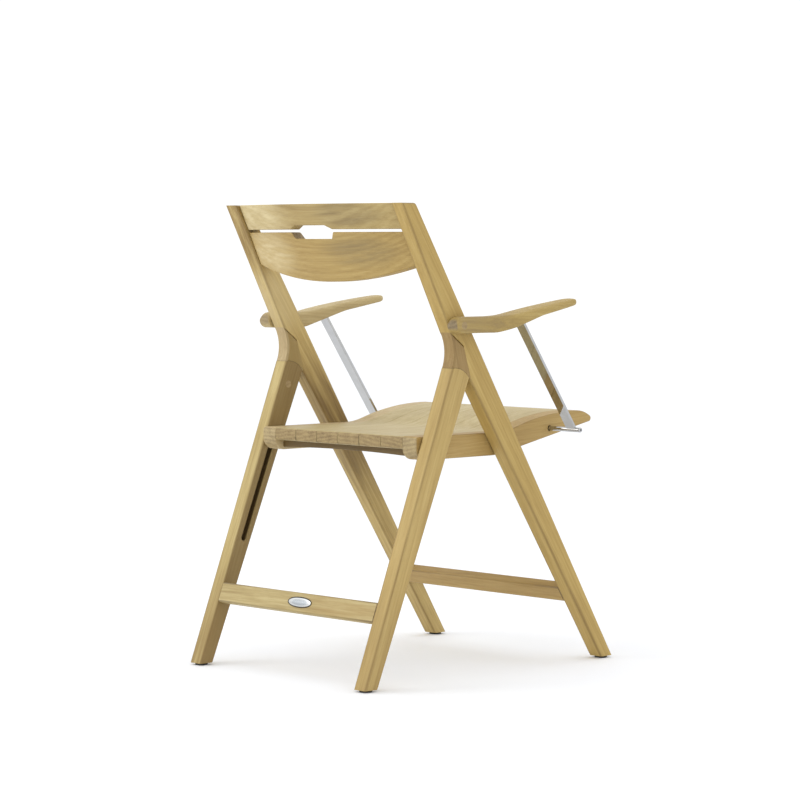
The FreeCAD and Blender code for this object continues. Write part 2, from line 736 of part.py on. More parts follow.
def make_side_rail(name, side):
    """Deep shaped rail: follows the seat's surface above, and tapers to the nose below."""
    middle = "(dims.seat_half-dims.rail_wide/2)"
    body = new_body(name, "%d*%s" % (side, middle))
    sketch = new_sketch(body, "YZ_Plane")
    rise = d("under_ramp")
    under_run = "((%s)-dims.rail_low_z)/tan(dims.under_ramp*1deg)" % nose_low[1]
    bend = ("(%s)+%s" % (nose_low[0], under_run), d("rail_low_z"))
    outline(sketch, seat_top() + nose_path + [
        step(bend, "-16*" + cosine(rise), "16*" + sine(rise)) + ("16/tan(dims.under_ramp*0.5deg)",),
        step(bend, 16, 0),
        ("dims.seat_rear_y-22", d("rail_low_z"), "22"),
        (d("seat_rear_y"), "dims.rail_low_z+22"),
        rear_corner,
    ])
    pad(body, sketch, d("rail_wide"), symmetric=True)
    half = value("dims.rail_wide/2")
    out_x = half * side

    def outer_edge(edge):
        if not on_face(edge, "X", out_x):
            return False
        return edge.Length > 12
    bevel(body, 1.5, outer_edge)
    outward = side > 0
    face = "%d*dims.rail_wide/2" % side
    for axis, size, deep in (
        (pivot, "dims.pivot_pin+dims.running", "20"),
        (slide_axis, d("slide_pin"), "18"),
        (rod_axis, "dims.rod+2", "24"),
    ):
        sketch = new_sketch(body, "YZ_Plane", face)
        circle(sketch, *axis, size)
        pocket(body, sketch, deep, backward=not outward)
    return body


def make_slat(number):
    """One of the seat's glued slats; its rounded nose follows the side rails."""
    count = "dims.slat_count"
    clear = "(dims.seat_half-dims.rail_wide)"
    wide = "(2*%s/%s)" % (clear, count)
    body = new_body("seat_slat_%d" % (number + 1), "%s*(%d+0.5)-%s" % (wide, number, clear))
    thick = d("slat_thick")
    level, bend = seat_top(thick)[1:]
    under = [
        step(crest, 0, "-" + thick) + ("-(dims.swell_round-%s)" % thick,),
        bend[:2] + ("dims.dip_round+%s" % thick,),
        level[:2],
        (d("seat_rear_y"), "dims.seat_z-" + thick),
        rear_corner,
    ]
    sketch = new_sketch(body, "YZ_Plane")
    outline(sketch, seat_top() + nose_path + under)
    pad(body, sketch, wide, symmetric=True)
    return body


def make_cross_rail(name, rear_y, wide, low_z, arch, top):
    """Rail under the slats, between the side rails, with a slightly arched lower edge."""
    body = new_body(name)
    half = "(dims.seat_half-dims.rail_wide)"
    front_y = "(%s)-(%s)" % (rear_y, wide)
    sketch = new_sketch(body, "YZ_Plane")
    outline(sketch, [
        (rear_y, low_z),
        (rear_y, top(rear_y)),
        (front_y, top(front_y)),
        (front_y, low_z),
    ])
    pad(body, sketch, "2*" + half, symmetric=True)
    radius = "(%s^2+%s^2)/(2*%s)" % (half, arch, arch)
    sketch = new_sketch(body, "XZ_Plane")
    outline(sketch, [
        (half, low_z, "(%s)" % radius),
        ("-" + half, low_z),
        ("-" + half, "(%s)-10" % low_z),
        (half, "(%s)-10" % low_z),
    ])
    pocket(body, sketch, 1000, symmetric=True)
    return body


def make_oval_plate():
    """Bare oval plate on the rear stretcher's rear face."""
    height = "(dims.rear_bar_low_z+dims.rear_bar_tall/2)"
    body = new_body("oval_plate", -11, leg_rear(height), height)
    tilt = math.degrees(math.atan(value("dims.leg_rear_slope")))
    body.Placement.Rotation = FreeCAD.Rotation(Vector(1, 0, 0), tilt)
    sketch = new_sketch(body, "XZ_Plane")
    outline(sketch, [
        ("25.95", "-5.68", "6"),
        ("25.95", "5.68", "80"),
        ("-25.95", "5.68", "6"),
        ("-25.95", "-5.68", "80"),
    ])
    pad(body, sketch, 1.2, backward=True)
    return body


# Armrests and struts

wide_y = "(dims.arm_dip_y-dims.arm_dip_run)"
dip_centre = (d("arm_dip_y"), "(dims.arm_top_z+dims.arm_dip_run/%s)" % sine(d("arm_ramp")))
swell_centre = (
    "(%s-dims.arm_swell_round*%s)" % (wide_y, sine(d("arm_ramp"))),
    "(%s-(dims.arm_swell_round+dims.arm_dip_run/%s)*%s)" % (
        dip_centre[1], sine(d("arm_ramp")), cosine(d("arm_ramp"))),
)
under_start = ("(%s+dims.arm_low_lead)" % wide_y, d("arm_low_z"))
under_rise = step(under_start, "-dims.arm_low_round*" + sine(d("arm_low_ramp")),
                  "dims.arm_low_round*(1-%s)" % cosine(d("arm_low_ramp")))
under_ease = step(under_rise, "-dims.arm_low_run", "dims.arm_low_run*tan(dims.arm_low_ramp*1deg)")
ease_centre = step(under_ease, "-dims.arm_nose_round*" + sine(d("arm_low_ramp")),
                   "-dims.arm_nose_round*" + cosine(d("arm_low_ramp")))
under_nose = step(ease_centre, "dims.arm_nose_round*" + sine(d("arm_nose_ramp")),
                  "dims.arm_nose_round*" + cosine(d("arm_nose_ramp")))


def arm_top(y):
    """Height of the armrest's top along its length: level, hollow, then a long swell."""
    if value(y) > value("dims.arm_dip_y"):
        return "dims.arm_top_z"
    if value(y) > value(wide_y):
        return "(%s-sqrt((dims.arm_dip_run/%s)^2-((%s)-%s)^2))" % (
            dip_centre[1], sine(d("arm_ramp")), y, dip_centre[0])
    return "(%s+sqrt(dims.arm_swell_round^2-((%s)-%s)^2))" % (swell_centre[1], y, swell_centre[0])


def arm_low(y):
    """Height of the armrest's underside: level, a steep rise, then a gentler one to the tip."""
    if value(y) > value(under_start[0]):
        return "dims.arm_low_z"
    if value(y) > value(under_rise[0]):
        return "(dims.arm_low_z+dims.arm_low_round-sqrt(dims.arm_low_round^2-((%s)-%s)^2))" % (
            y, under_start[0])
    if value(y) > value(under_ease[0]):
        return "(%s+(%s-(%s))*tan(dims.arm_low_ramp*1deg))" % (under_rise[1], under_rise[0], y)
    if value(y) > value(under_nose[0]):
        return "(%s+sqrt(dims.arm_nose_round^2-((%s)-(%s))^2))" % (ease_centre[1], y, ease_centre[0])
    return "(%s+(%s-(%s))*tan(dims.arm_nose_ramp*1deg))" % (under_nose[1], under_nose[0], y)


def arm_side(y):
    """Outer side of the armrest: narrow at the rear, a soft flare, then a slow taper."""
    if value(y) > value("dims.arm_dip_y"):
        return "dims.arm_rear_out"
    if value(y) > value(wide_y):
        return "(dims.arm_out-(dims.arm_out-dims.arm_rear_out)*(1+cos(180deg*(dims.arm_dip_y-(%s))" \
            "/dims.arm_dip_run))/2)" % y
    return "(dims.arm_out-dims.arm_taper*((%s-(%s))/100)^2)" % (wide_y, y)


def arm_stations():
    """Stations along the armrest: place, inner and outer side, underside and top."""
    stations = []
    rear_round = "((dims.arm_top_z-dims.arm_low_z)/2)"
    middle_z = "((dims.arm_top_z+dims.arm_low_z)/2)"
    for angle in (75, 45):
        y = "(dims.arm_rear_y-%s*(1-sin(%ddeg)))" % (rear_round, angle)
        half = "%s*cos(%ddeg)" % (rear_round, angle)
        stations.append((y, "dims.arm_in", arm_side(y), "%s-%s" % (middle_z, half),
                         "%s+%s" % (middle_z, half)))
    places = ["(dims.arm_rear_y-%s)" % rear_round]
    places += ["(dims.arm_dip_y-%g*dims.arm_dip_run)" % share for share in (0, 0.34, 0.7, 1)]
    tip_y = "(dims.arm_tip_y+dims.tip_round)"
    places += ["(%s+%g*(%s-%s))" % (wide_y, share, tip_y, wide_y) for share in (0.13, 0.42, 0.67)]
    for y in places:
        stations.append((y, "dims.arm_in", arm_side(y), arm_low(y), arm_top(y)))
    for angle in (0, 38, 68):
        y = "(%s-dims.tip_round*sin(%ddeg))" % (tip_y, angle)
        half = "dims.tip_round*cos(%ddeg)" % angle
        middle_x = "(dims.arm_in+dims.tip_round)"
        thin = "((%s)-(%s))*0.35*(1-cos(%ddeg))" % (arm_top(y), arm_low(y), angle)
        stations.append((y, "%s-%s" % (middle_x, half), "%s+%s" % (middle_x, half),
                         "%s+%s" % (arm_low(y), thin), "%s-%s" % (arm_top(y), thin)))
    return stations


def make_armrest(name, side):
    """Armrest lofted through crowned sections, then mortised for its strut and drilled."""
    body = new_body(name)
    sections = []
    for y, near, far, low, high in arm_stations():
        tall = "((%s)-(%s))" % (high, low)
        wide = "((%s)-(%s))" % (far, near)
        upper = "min(dims.arm_edge;0.32*%s)" % tall
        lower = "(0.55*%s)" % upper
        bend = "(%s*(1-cos(45deg)))" % upper
        crown = "min(dims.arm_crown;0.16*%s)" % tall
        rim = "((%s)-%s)" % (high, crown)
        corners = [
            (near, "(%s)+%s" % (low, lower)),
            ("(%s)+%s" % (near, lower), low),
            ("(%s)-%s" % (far, lower), low),
            (far, "(%s)+%s" % (low, lower)),
            (far, "%s-%s" % (rim, upper)),
            ("(%s)-%s" % (far, bend), "%s-%s" % (rim, bend)),
            ("(%s)-%s" % (far, upper), rim),
            ("(%s)-0.32*%s" % (far, wide), "(%s)-0.1*%s" % (high, crown)),
            ("(%s)+0.32*%s" % (near, wide), "(%s)-0.1*%s" % (high, crown)),
            ("(%s)+%s" % (near, upper), rim),
            ("(%s)+%s" % (near, bend), "%s-%s" % (rim, bend)),
            (near, "%s-%s" % (rim, upper)),
        ]
        section = [("%d*(%s)" % (side, across), up) for across, up in corners]
        sketch = new_sketch(body, "XZ_Plane", "-(%s)" % y)
        outline(sketch, section)
        sections.append(sketch)
    feature = body.newObject("PartDesign::AdditiveLoft", name + "_loft")
    feature.Profile = sections[0]
    feature.Sections = sections[1:]
    feature.Ruled = True
    settle(feature)

    mortise = "(dims.strut_wide/2+0.5)"
    sketch = new_sketch(body, "YZ_Plane", "%d*dims.strut_x" % side)
    top_round = "(dims.eye/2+2)"
    lean = "(180+atan(dims.strut_rise/dims.strut_run)/1deg)"
    folded = lean + "+93"
    outline(sketch, [
        around(eye_axis, top_round, lean + "-90"),
        step(around(eye_axis, top_round, lean + "-90"), "60*" + cosine(lean), "60*" + sine(lean)),
        step(eye_axis, 10, -60),
        step(around(eye_axis, top_round, folded + "+90"), "70*" + cosine(folded), "70*" + sine(folded)),
        around(eye_axis, top_round, folded + "+90") + (top_round,),
    ])
    pocket(body, sketch, "2*" + mortise, symmetric=True)
    outward = side > 0
    sketch = new_sketch(body, "YZ_Plane", "%d*dims.strut_x" % side)
    circle(sketch, *eye_axis, d("eye_pin"))
    pocket(body, sketch, "dims.strut_wide+15", symmetric=True)
    sketch = new_sketch(body, "YZ_Plane", "%d*dims.arm_in" % side)
    circle(sketch, *arm_axis, "dims.arm_bolt+dims.running")
    pocket(body, sketch, 40, backward=outward)
    sketch = new_sketch(body, "YZ_Plane", "%d*dims.arm_rear_out" % side)
    circle(sketch, *arm_axis, d("plug"))
    pocket(body, sketch, d("plug_deep"), backward=not outward)
    return body


def make_strut(name, side):
    """Flat polished bar welded to a rod below and to a short eye tube above."""
    body = new_body(name, "%d*dims.strut_x" % side)
    lean = "(atan(dims.strut_rise/dims.strut_run)/1deg)"
    half = "(dims.strut_thick/2)"
    sketch = new_sketch(body, "YZ_Plane")
    outline(sketch, [
        around(rod_axis, half, lean + "+90"),
        around(rod_axis, half, lean + "-90"),
        around(eye_axis, half, lean + "-90"),
        around(eye_axis, half, lean + "+90"),
    ])
    pad(body, sketch, d("strut_wide"), symmetric=True)
    sketch = new_sketch(body, "YZ_Plane")
    circle(sketch, *eye_axis, d("eye"))
    pad(body, sketch, d("strut_wide"), symmetric=True)
    sketch = new_sketch(body, "YZ_Plane", "%d*(dims.rod_end-dims.strut_x)" % side)
    circle(sketch, *rod_axis, d("rod"))
    pad(body, sketch, "dims.rod_end-dims.seat_half+21", backward=side > 0)
    sketch = new_sketch(body, "YZ_Plane")
    circle(sketch, *eye_axis, "dims.eye_pin+dims.running")
    pocket(body, sketch, 60, symmetric=True)
    return body


def make_glides(name, y):
    """Round glides under the left and the right foot."""
    glide = doc.addObject("Part::Cylinder", name + "_left")
    bind(glide, "Radius", "dims.glide/2")
    bind(glide, "Height", foot_z)
    bind(glide, "Placement.Base.x", d("frame_half"))
    bind(glide, "Placement.Base.y", y)
    return on_both_sides(name, glide)


# Back frame

for side_name, side in SIDES:
    make_stile(side_name + "_stile", side)
    make_hinge_block(side_name + "_hinge_block", side)

make_glides("front_glides", stile_front(foot_z) + "+dims.stile_foot_wide/2")
on_both_sides("seat_pivot_pins", rod_along_x(
    "seat_pivot_pin", "dims.seat_half-18", inner_face + "+18", *pivot, d("pivot_pin") + "-0.02"))
on_both_sides("seat_washers", ring_along_x(
    "seat_washer", "dims.seat_half+0.1", inner_face, *pivot, d("washer"), d("pivot_pin")))
on_both_sides("arm_bolts", rod_along_x(
    "arm_bolt", outer_face + "-18", "dims.arm_rear_out-dims.plug_deep-2", *arm_axis,
    d("arm_bolt") + "-0.02"))
on_both_sides("arm_washers", ring_along_x(
    "arm_washer", outer_face, "dims.arm_in-0.1", *arm_axis, d("washer"), d("arm_bolt")))
make_stretcher("front_stretcher", front_bar)
make_board("upper_back_board", upper=True)
make_board("lower_back_board", upper=False)

# Rear leg frame

for side_name, side in SIDES:
    make_rear_leg(side_name + "_rear_leg", side)

make_glides("rear_glides", leg_front(foot_z) + "+dims.leg_foot_wide/2")
on_both_sides("hinge_pins", rod_along_x(
    "hinge_pin", inner_face + "+dims.plug_deep", outer_face + "-3", *hinge, d("hinge_pin") + "-0.02"))
on_both_sides("hinge_plugs", rod_along_x(
    "hinge_plug", inner_face, inner_face + "+dims.plug_deep", *hinge, d("plug") + "-0.02"))
make_stretcher("rear_stretcher", rear_bar)
make_oval_plate()

# Seat frame

for side_name, side in SIDES:
    make_side_rail(side_name + "_seat_rail", side)

on_both_sides("slide_pins", rod_along_x(
    "slide_pin", "dims.seat_half-18", inner_face + "+dims.groove_deep-1", *slide_axis,
    d("slide_pin") + "-0.02"))

for number in range(int(value("dims.slat_count"))):
    make_slat(number)


def level_under(y):
    return "(dims.seat_z-dims.slat_thick)"


make_cross_rail("rear_cross_rail", "dims.seat_rear_y-20", 30, "405", 4, level_under)
make_cross_rail("middle_cross_rail", "60", 30, "408", 4, level_under)
make_cross_rail("front_cross_rail", "-193", 30, "441", 3, slat_under)

# Armrests and struts

for side_name, side in SIDES:
    make_armrest(side_name + "_armrest", side)
    pin(side_name + "_arm_plug", "%d*(dims.arm_rear_out-dims.plug_deep)" % side,
        "%d*dims.arm_rear_out" % side, *arm_axis, d("plug") + "-0.02")
    pin(side_name + "_strut_pin", "%d*(dims.strut_x-dims.strut_wide/2-7)" % side,
        "%d*(dims.strut_x+dims.strut_wide/2+7)" % side, *eye_axis, d("eye_pin") + "-0.02")
    make_strut(side_name + "_strut", side)
    pin(side_name + "_rod_cap", "%d*dims.rod_end" % side, "%d*(dims.rod_end+dims.rod_cap_long)" % side,
        *rod_axis, d("rod_cap"))

doc.recompute()

# Check and write

faults = []
for item in doc.Objects:
    if "Invalid" in item.State or "Error" in item.State:
        faults.append("%s is %s" % (item.Label, item.State))
for item in sub_parts:
    if item.Shape.isNull() or not item.Shape.isValid():
        faults.append(item.Label + " has no valid shape")
if faults:
    raise RuntimeError("; ".join(faults))

os.makedirs("parts", exist_ok=True)
for item in sub_parts:
    item.Shape.exportStep("parts/%s.step" % item.Label)
    print("%-22s %10.1f mm3, %d solid(s)" % (item.Label, item.Shape.Volume, len(item.Shape.Solids)))
print("%d sub-parts" % len(sub_parts))
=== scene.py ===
import math

import bmesh
import bpy
from mathutils import Matrix, Vector


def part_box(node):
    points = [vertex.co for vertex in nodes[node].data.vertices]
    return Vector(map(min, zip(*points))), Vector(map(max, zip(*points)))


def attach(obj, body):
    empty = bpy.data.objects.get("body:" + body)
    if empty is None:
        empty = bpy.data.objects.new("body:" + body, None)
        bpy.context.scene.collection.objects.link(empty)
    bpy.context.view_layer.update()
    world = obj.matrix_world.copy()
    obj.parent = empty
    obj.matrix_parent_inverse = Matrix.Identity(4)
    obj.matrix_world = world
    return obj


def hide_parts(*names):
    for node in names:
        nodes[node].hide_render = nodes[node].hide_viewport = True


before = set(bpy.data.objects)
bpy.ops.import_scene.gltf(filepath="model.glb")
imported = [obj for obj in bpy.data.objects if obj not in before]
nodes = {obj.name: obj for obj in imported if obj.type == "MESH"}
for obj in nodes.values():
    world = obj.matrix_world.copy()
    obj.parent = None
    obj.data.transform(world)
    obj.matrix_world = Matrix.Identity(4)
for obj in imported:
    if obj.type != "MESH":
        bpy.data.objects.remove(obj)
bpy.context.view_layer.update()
sides = (("left", 1), ("right", -1))
print("frame loaded with", len(nodes), "nodes")


# Node helpers: every value is either a number or the socket that drives it

def toLinear(red, green, blue):
    channels = []
    for share in (red / 255, green / 255, blue / 255):
        channels.append(share / 12.92 if share <= 0.04045 else ((share + 0.055) / 1.055) ** 2.4)
    return (*channels, 1.0)


def tinted(colour, tint):
    return (*(channel * share for channel, share in zip(toLinear(*colour), tint)), 1.0)


def addNode(tree, kind, values=None, **settings):
    node = tree.nodes.new(kind)
    for name, setting in settings.items():
        setattr(node, name, setting)
    for name, value in (values or {}).items():
        if isinstance(value, bpy.types.NodeSocket):
            tree.links.new(value, node.inputs[name])
        else:
            node.inputs[name].default_value = value
    return node


def addMath(tree, operation, first, second=0.0, third=0.0):
    node = addNode(tree, "ShaderNodeMath", {0: first, 1: second, 2: third}, operation=operation)
    return node.outputs[0]


def addVector(tree, operation, *values):
    node = addNode(tree, "ShaderNodeVectorMath", dict(enumerate(values)), operation=operation)
    return node.outputs["Value" if operation in ("LENGTH", "DOT_PRODUCT") else "Vector"]


def addAcross(tree, vector):
    return addNode(tree, "ShaderNodeSeparateXYZ", {0: vector}).outputs[0]


def addRange(tree, value, source, result=(0.0, 1.0), smooth=False):
    node = addNode(tree, "ShaderNodeMapRange", {
        "Value": value, "From Min": source[0], "From Max": source[1],
        "To Min": result[0], "To Max": result[1]},
        interpolation_type="SMOOTHSTEP" if smooth else "LINEAR")
    return node.outputs[0]


def addNoise(tree, vector, scale, detail=2.0, roughness=0.5):
    stretch = addNode(tree, "ShaderNodeMapping", {"Vector": vector, "Scale": scale})
    noise = addNode(tree, "ShaderNodeTexNoise", {
        "Vector": stretch.outputs[0], "Scale": 1.0, "Detail": detail, "Roughness": roughness})
    return noise.outputs["Fac"]


def addRamp(tree, factor, stops):
    ramp = addNode(tree, "ShaderNodeValToRGB", {"Fac": factor})
    band = ramp.color_ramp
    while len(band.elements) < len(stops):
        band.elements.new(0.5)
    for element, (place, colour) in zip(band.elements, stops):
        element.position = place
        element.color = colour
    return ramp.outputs["Color"]


def addMix(tree, factor, first, second):
    node = addNode(tree, "ShaderNodeMix", {0: factor, 6: first, 7: second}, data_type="RGBA")
    return node.outputs[2]


def startMaterial(name):
    material = bpy.data.materials.new(name)
    material.use_nodes = True
    tree = material.node_tree
    shader = tree.nodes["Principled BSDF"]
    coords = tree.nodes.new("ShaderNodeTexCoord")
    return material, tree, shader, coords


# Teak: soft streaks, faint rings, pores and slow patches, all stretched along the grain of the piece

teakTones = {
    "pale": (195, 171, 116),
    "middle": (180, 154, 99),
    "dark": (157, 130, 79),
    "pore": (120, 95, 54),
    "endPale": (160, 140, 106),
    "endDark": (118, 100, 72),
    "ringSpacing": 0.0075,
    "rings": 0.04,
    "streaks": 0.38,
    "fibres": 0.34,
    "patches": 0.24,
    "paleReach": 0.16,  # how far from the middle of the blend the pale and the dark tone stand
    "darkReach": 0.20,
    "spread": 1.0,
    "poreFrom": (0.60, 0.70),
    "poreDepth": 0.26,
    "sideFrom": (0.60, 0.95),  # how squarely a face looks along X before the side tone covers it
    "cutFrom": (0.50, 0.75),  # how squarely a face cuts the grain before it shows end grain
    "cutStreaks": 0.45,
    "cutSpecks": 0.45,
    "cutRings": 0.10,
    "cutBand": (0.36, 0.64),
    "roughFrom": (0.3, 0.7),
    "roughness": (0.46, 0.62),
    "fibreHeight": 0.6,
    "bump": 0.20,
    "relief": 0.0004,
    "specular": 0.35,
}
teakLayers = {  # scale across, across and along the grain, then detail and roughness
    "streaks": ((85, 85, 3.4), 5.0, 0.62),
    "fibres": ((480, 480, 12), 4.0, 0.66),
    "pores": ((1500, 1500, 42), 2.0, 0.6),
    "patches": ((16, 16, 4), 3.0, 0.55),
    "specks": ((420, 420, 420), 3.0, 0.7),
}
teakWander = {"scale": (11, 11, 2.4), "detail": 2.0, "reach": (0.022, 0.022, 0.0)}
teakRings = {"flatten": (1, 1, 0.10), "oneMetre": 0.314, "distortion": 2.0, "detail": 3.0, "fineScale": 1.6,
             "fineRoughness": 0.6}
spotEdge = {"reach": (0.35, 1.15), "streaks": (0.38, 0.62), "strength": (0.45, 1.35)}
arrisTone = {
    "colour": (120, 94, 54), "depth": 0.42, "reach": (0.0015, 0.0062), "streaks": (0.35, 0.65),
    "strength": (0.5, 1.2),
}
# Painted shade along the rounded edges, where faces slant between two sides
paintedEdgeShade = {"colour": (112, 92, 60), "depth": 0.26, "slant": (0.06, 0.22)}


def addSpot(tree, place, streaks, colour, spot):
    centre, reach, tone, depth = spot
    scaled = addVector(tree, "DIVIDE", addVector(tree, "SUBTRACT", place, centre), reach)
    soft = addRange(tree, addVector(tree, "LENGTH", scaled), spotEdge["reach"], (depth, 0.0), smooth=True)
    broken = addRange(tree, streaks, spotEdge["streaks"], spotEdge["strength"])
    return addMix(tree, addMath(tree, "MULTIPLY", soft, broken), colour, toLinear(*tone))


def addArris(tree, place, streaks, colour, plane):
    normalY, normalZ, offset = plane
    depth = addVector(tree, "DOT_PRODUCT", place, (0, normalY, normalZ))
    fromRear = addMath(tree, "SUBTRACT", offset, depth)
    across = addMath(tree, "ABSOLUTE", addAcross(tree, place))
    fromMiddle = addMath(tree, "ABSOLUTE", addMath(tree, "SUBTRACT", across, timber["middle"]))
    fromSide = addMath(tree, "SUBTRACT", timber["half"], fromMiddle)
    corner = addNode(tree, "ShaderNodeCombineXYZ", {0: fromRear, 1: fromSide}).outputs[0]
    distance = addVector(tree, "LENGTH", corner)
    mask = addRange(tree, distance, arrisTone["reach"], (arrisTone["depth"], 0.0), smooth=True)
    broken = addRange(tree, streaks, arrisTone["streaks"], arrisTone["strength"])
    return addMix(tree, addMath(tree, "MULTIPLY", mask, broken), colour, toLinear(*arrisTone["colour"]))


# Painted shade inside the groove on the leg's inner face, darker deeper into the groove
def addGrooveShade(tree, place, colour, line):
    depth = addVector(tree, "DOT_PRODUCT", place, (0, *line["normal"]))
    fromMiddle = addMath(tree, "ABSOLUTE", addMath(tree, "SUBTRACT", depth, line["offset"]))
    across = addMath(tree, "ABSOLUTE", addAcross(tree, place))
    inside = addMath(tree, "LESS_THAN", fromMiddle, line["half"])
    inside = addMath(tree, "MULTIPLY", inside, addMath(tree, "LESS_THAN", across, line["farX"]))
    shade = addRange(tree, across, [line["nearX"] + step for step in line["fade"]], (0.0, line["depth"]))
    return addMix(tree, addMath(tree, "MULTIPLY", inside, shade), colour, toLinear(*line["colour"]))


# Painted shade on rounded edges: darkest where the normal stands half way between the axis and the faces
# across it
def addPaintedEdgeShade(tree, normal, colour, axis):
    share = addVector(tree, "DOT_PRODUCT", normal, axis)
    squared = addMath(tree, "MULTIPLY", share, share)
    slanted = addMath(tree, "MULTIPLY", squared, addMath(tree, "SUBTRACT", 1.0, squared))
    mask = addRange(tree, slanted, paintedEdgeShade["slant"], (0.0, paintedEdgeShade["depth"]))
    return addMix(tree, mask, colour, toLinear(*paintedEdgeShade["colour"]))


# Painted shade in the narrow joints between staves: full on the cut ends, faint on the top
def addJointShade(tree, place, streaks, colour, cutMask, seams):
    across = addMath(tree, "ADD", addAcross(tree, place), seams["start"])
    distance = addMath(tree, "PINGPONG", across, seams["step"] / 2)
    line = addRange(tree, distance, seams["reach"], (seams["depth"], 0.0))
    strength = addMath(tree, "MULTIPLY_ADD", cutMask, 1 - seams["topShare"], seams["topShare"])
    broken = addRange(tree, streaks, seams["streaks"], seams["strength"])
    strength = addMath(tree, "MULTIPLY", strength, broken)
    return addMix(tree, addMath(tree, "MULTIPLY", line, strength), colour, toLinear(*seams["colour"]))


def makeTeak(name, grain, pith, tilt=3.0, tint=(1, 1, 1), shift=None, spots=(), arrises=(), groove=None,
             sideTone=None, edgeAxis=None, seams=None, **changes):
    tone = {**teakTones, **changes}
    material, tree, shader, coords = startMaterial(name)
    rest = place = coords.outputs["Object"]
    normal = coords.outputs["Normal"]
    if shift:
        own = addNode(tree, "ShaderNodeAttribute", attribute_name=shift)
        place = addVector(tree, "ADD", place, own.outputs["Vector"])
    along = Vector(grain).normalized()
    upright = along.rotation_difference(Vector((0, 0, 1))).to_matrix()
    turn = Matrix.Rotation(math.radians(tilt), 3, "X") @ upright
    grainSpace = addNode(tree, "ShaderNodeMapping", {
        "Vector": place, "Rotation": turn.to_euler(), "Location": (*pith, 0)}).outputs[0]

    wide = addNode(tree, "ShaderNodeMapping", {"Vector": grainSpace, "Scale": teakWander["scale"]})
    wander = addNode(tree, "ShaderNodeTexNoise", {
        "Vector": wide.outputs[0], "Scale": 1.0, "Detail": teakWander["detail"]})
    centred = addVector(tree, "SUBTRACT", wander.outputs["Color"], (0.5, 0.5, 0.5))
    moved = addVector(tree, "MULTIPLY_ADD", centred, teakWander["reach"], grainSpace)
    flat = addNode(tree, "ShaderNodeMapping", {"Vector": moved, "Scale": teakRings["flatten"]}).outputs[0]
    rings = addNode(tree, "ShaderNodeTexWave", {
        "Vector": flat, "Scale": teakRings["oneMetre"] / tone["ringSpacing"],
        "Distortion": teakRings["distortion"], "Detail": teakRings["detail"],
        "Detail Scale": teakRings["fineScale"], "Detail Roughness": teakRings["fineRoughness"]},
        wave_type="RINGS", rings_direction="Z").outputs["Fac"]
    streaks = addNoise(tree, moved, *teakLayers["streaks"])
    fibres = addNoise(tree, grainSpace, *teakLayers["fibres"])
    pores = addNoise(tree, grainSpace, *teakLayers["pores"])
    patches = addNoise(tree, grainSpace, *teakLayers["patches"])

    blend = addMath(tree, "MULTIPLY", rings, tone["rings"])
    for layer, share in ((streaks, "streaks"), (fibres, "fibres"), (patches, "patches")):
        blend = addMath(tree, "MULTIPLY_ADD", layer, tone[share], blend)
    colour = addRamp(tree, blend, [
        (0.50 - tone["paleReach"] * tone["spread"], tinted(tone["pale"], tint)),
        (0.50, tinted(tone["middle"], tint)),
        (0.50 + tone["darkReach"] * tone["spread"], tinted(tone["dark"], tint))])
    poreMask = addRange(tree, pores, tone["poreFrom"], (0.0, tone["poreDepth"]))
    colour = addMix(tree, poreMask, colour, toLinear(*tone["pore"]))
    if sideTone:
        sideways = addMath(tree, "ABSOLUTE", addAcross(tree, normal))
        sideMask = addRange(tree, sideways, tone["sideFrom"], (0.0, sideTone[1]))
        colour = addMix(tree, sideMask, colour, toLinear(*sideTone[0]))
    # painted shade inside the leg groove
    if groove:
        colour = addGrooveShade(tree, rest, colour, groove)
    for plane in arrises:
        colour = addArris(tree, rest, streaks, colour, plane)
    for spot in spots:
        colour = addSpot(tree, rest, streaks, colour, spot)
    # painted shade along the rounded edges
    if edgeAxis:
        colour = addPaintedEdgeShade(tree, normal, colour, edgeAxis)

    facing = addMath(tree, "ABSOLUTE", addVector(tree, "DOT_PRODUCT", normal, tuple(along)))
    cutMask = addRange(tree, facing, tone["cutFrom"])
    specks = addNoise(tree, grainSpace, *teakLayers["specks"])
    cutTone = addMath(tree, "MULTIPLY", specks, tone["cutSpecks"])
    cutTone = addMath(tree, "MULTIPLY_ADD", streaks, tone["cutStreaks"], cutTone)
    cutTone = addMath(tree, "MULTIPLY_ADD", rings, tone["cutRings"], cutTone)
    cutColour = addRamp(tree, cutTone, [
        (tone["cutBand"][0], toLinear(*tone["endPale"])), (tone["cutBand"][1], toLinear(*tone["endDark"]))])
    colour = addMix(tree, cutMask, colour, cutColour)
    # painted shade at the stave joints
    if seams:
        colour = addJointShade(tree, rest, streaks, colour, cutMask, seams)
    tree.links.new(colour, shader.inputs["Base Color"])

    rough = addRange(tree, fibres, tone["roughFrom"], tone["roughness"])
    tree.links.new(rough, shader.inputs["Roughness"])
    height = addMath(tree, "SUBTRACT", addMath(tree, "MULTIPLY", fibres, tone["fibreHeight"]), poreMask)
    bump = addNode(tree, "ShaderNodeBump", {
        "Height": height, "Strength": tone["bump"], "Distance": tone["relief"]})
    tree.links.new(bump.outputs[0], shader.inputs["Normal"])
    shader.inputs["Specular IOR Level"].default_value = tone["specular"]
    return material


metalTone = {
    "smears": (3.0, 0.6), "roughFrom": (0.3, 0.7), "band": (0.3, 0.8), "darker": 10, "relief": 0.0001,
    "fieldEdge": (0.75, 1.1), "fieldDepth": 0.85,
}
plasticTone = {
    "grit": ((1800, 1800, 1800), 2.0, 0.6), "band": (0.35, 0.75), "lighter": 14, "roughness": (-0.06, 0.08),
    "bump": 0.3, "relief": 0.0001,
}


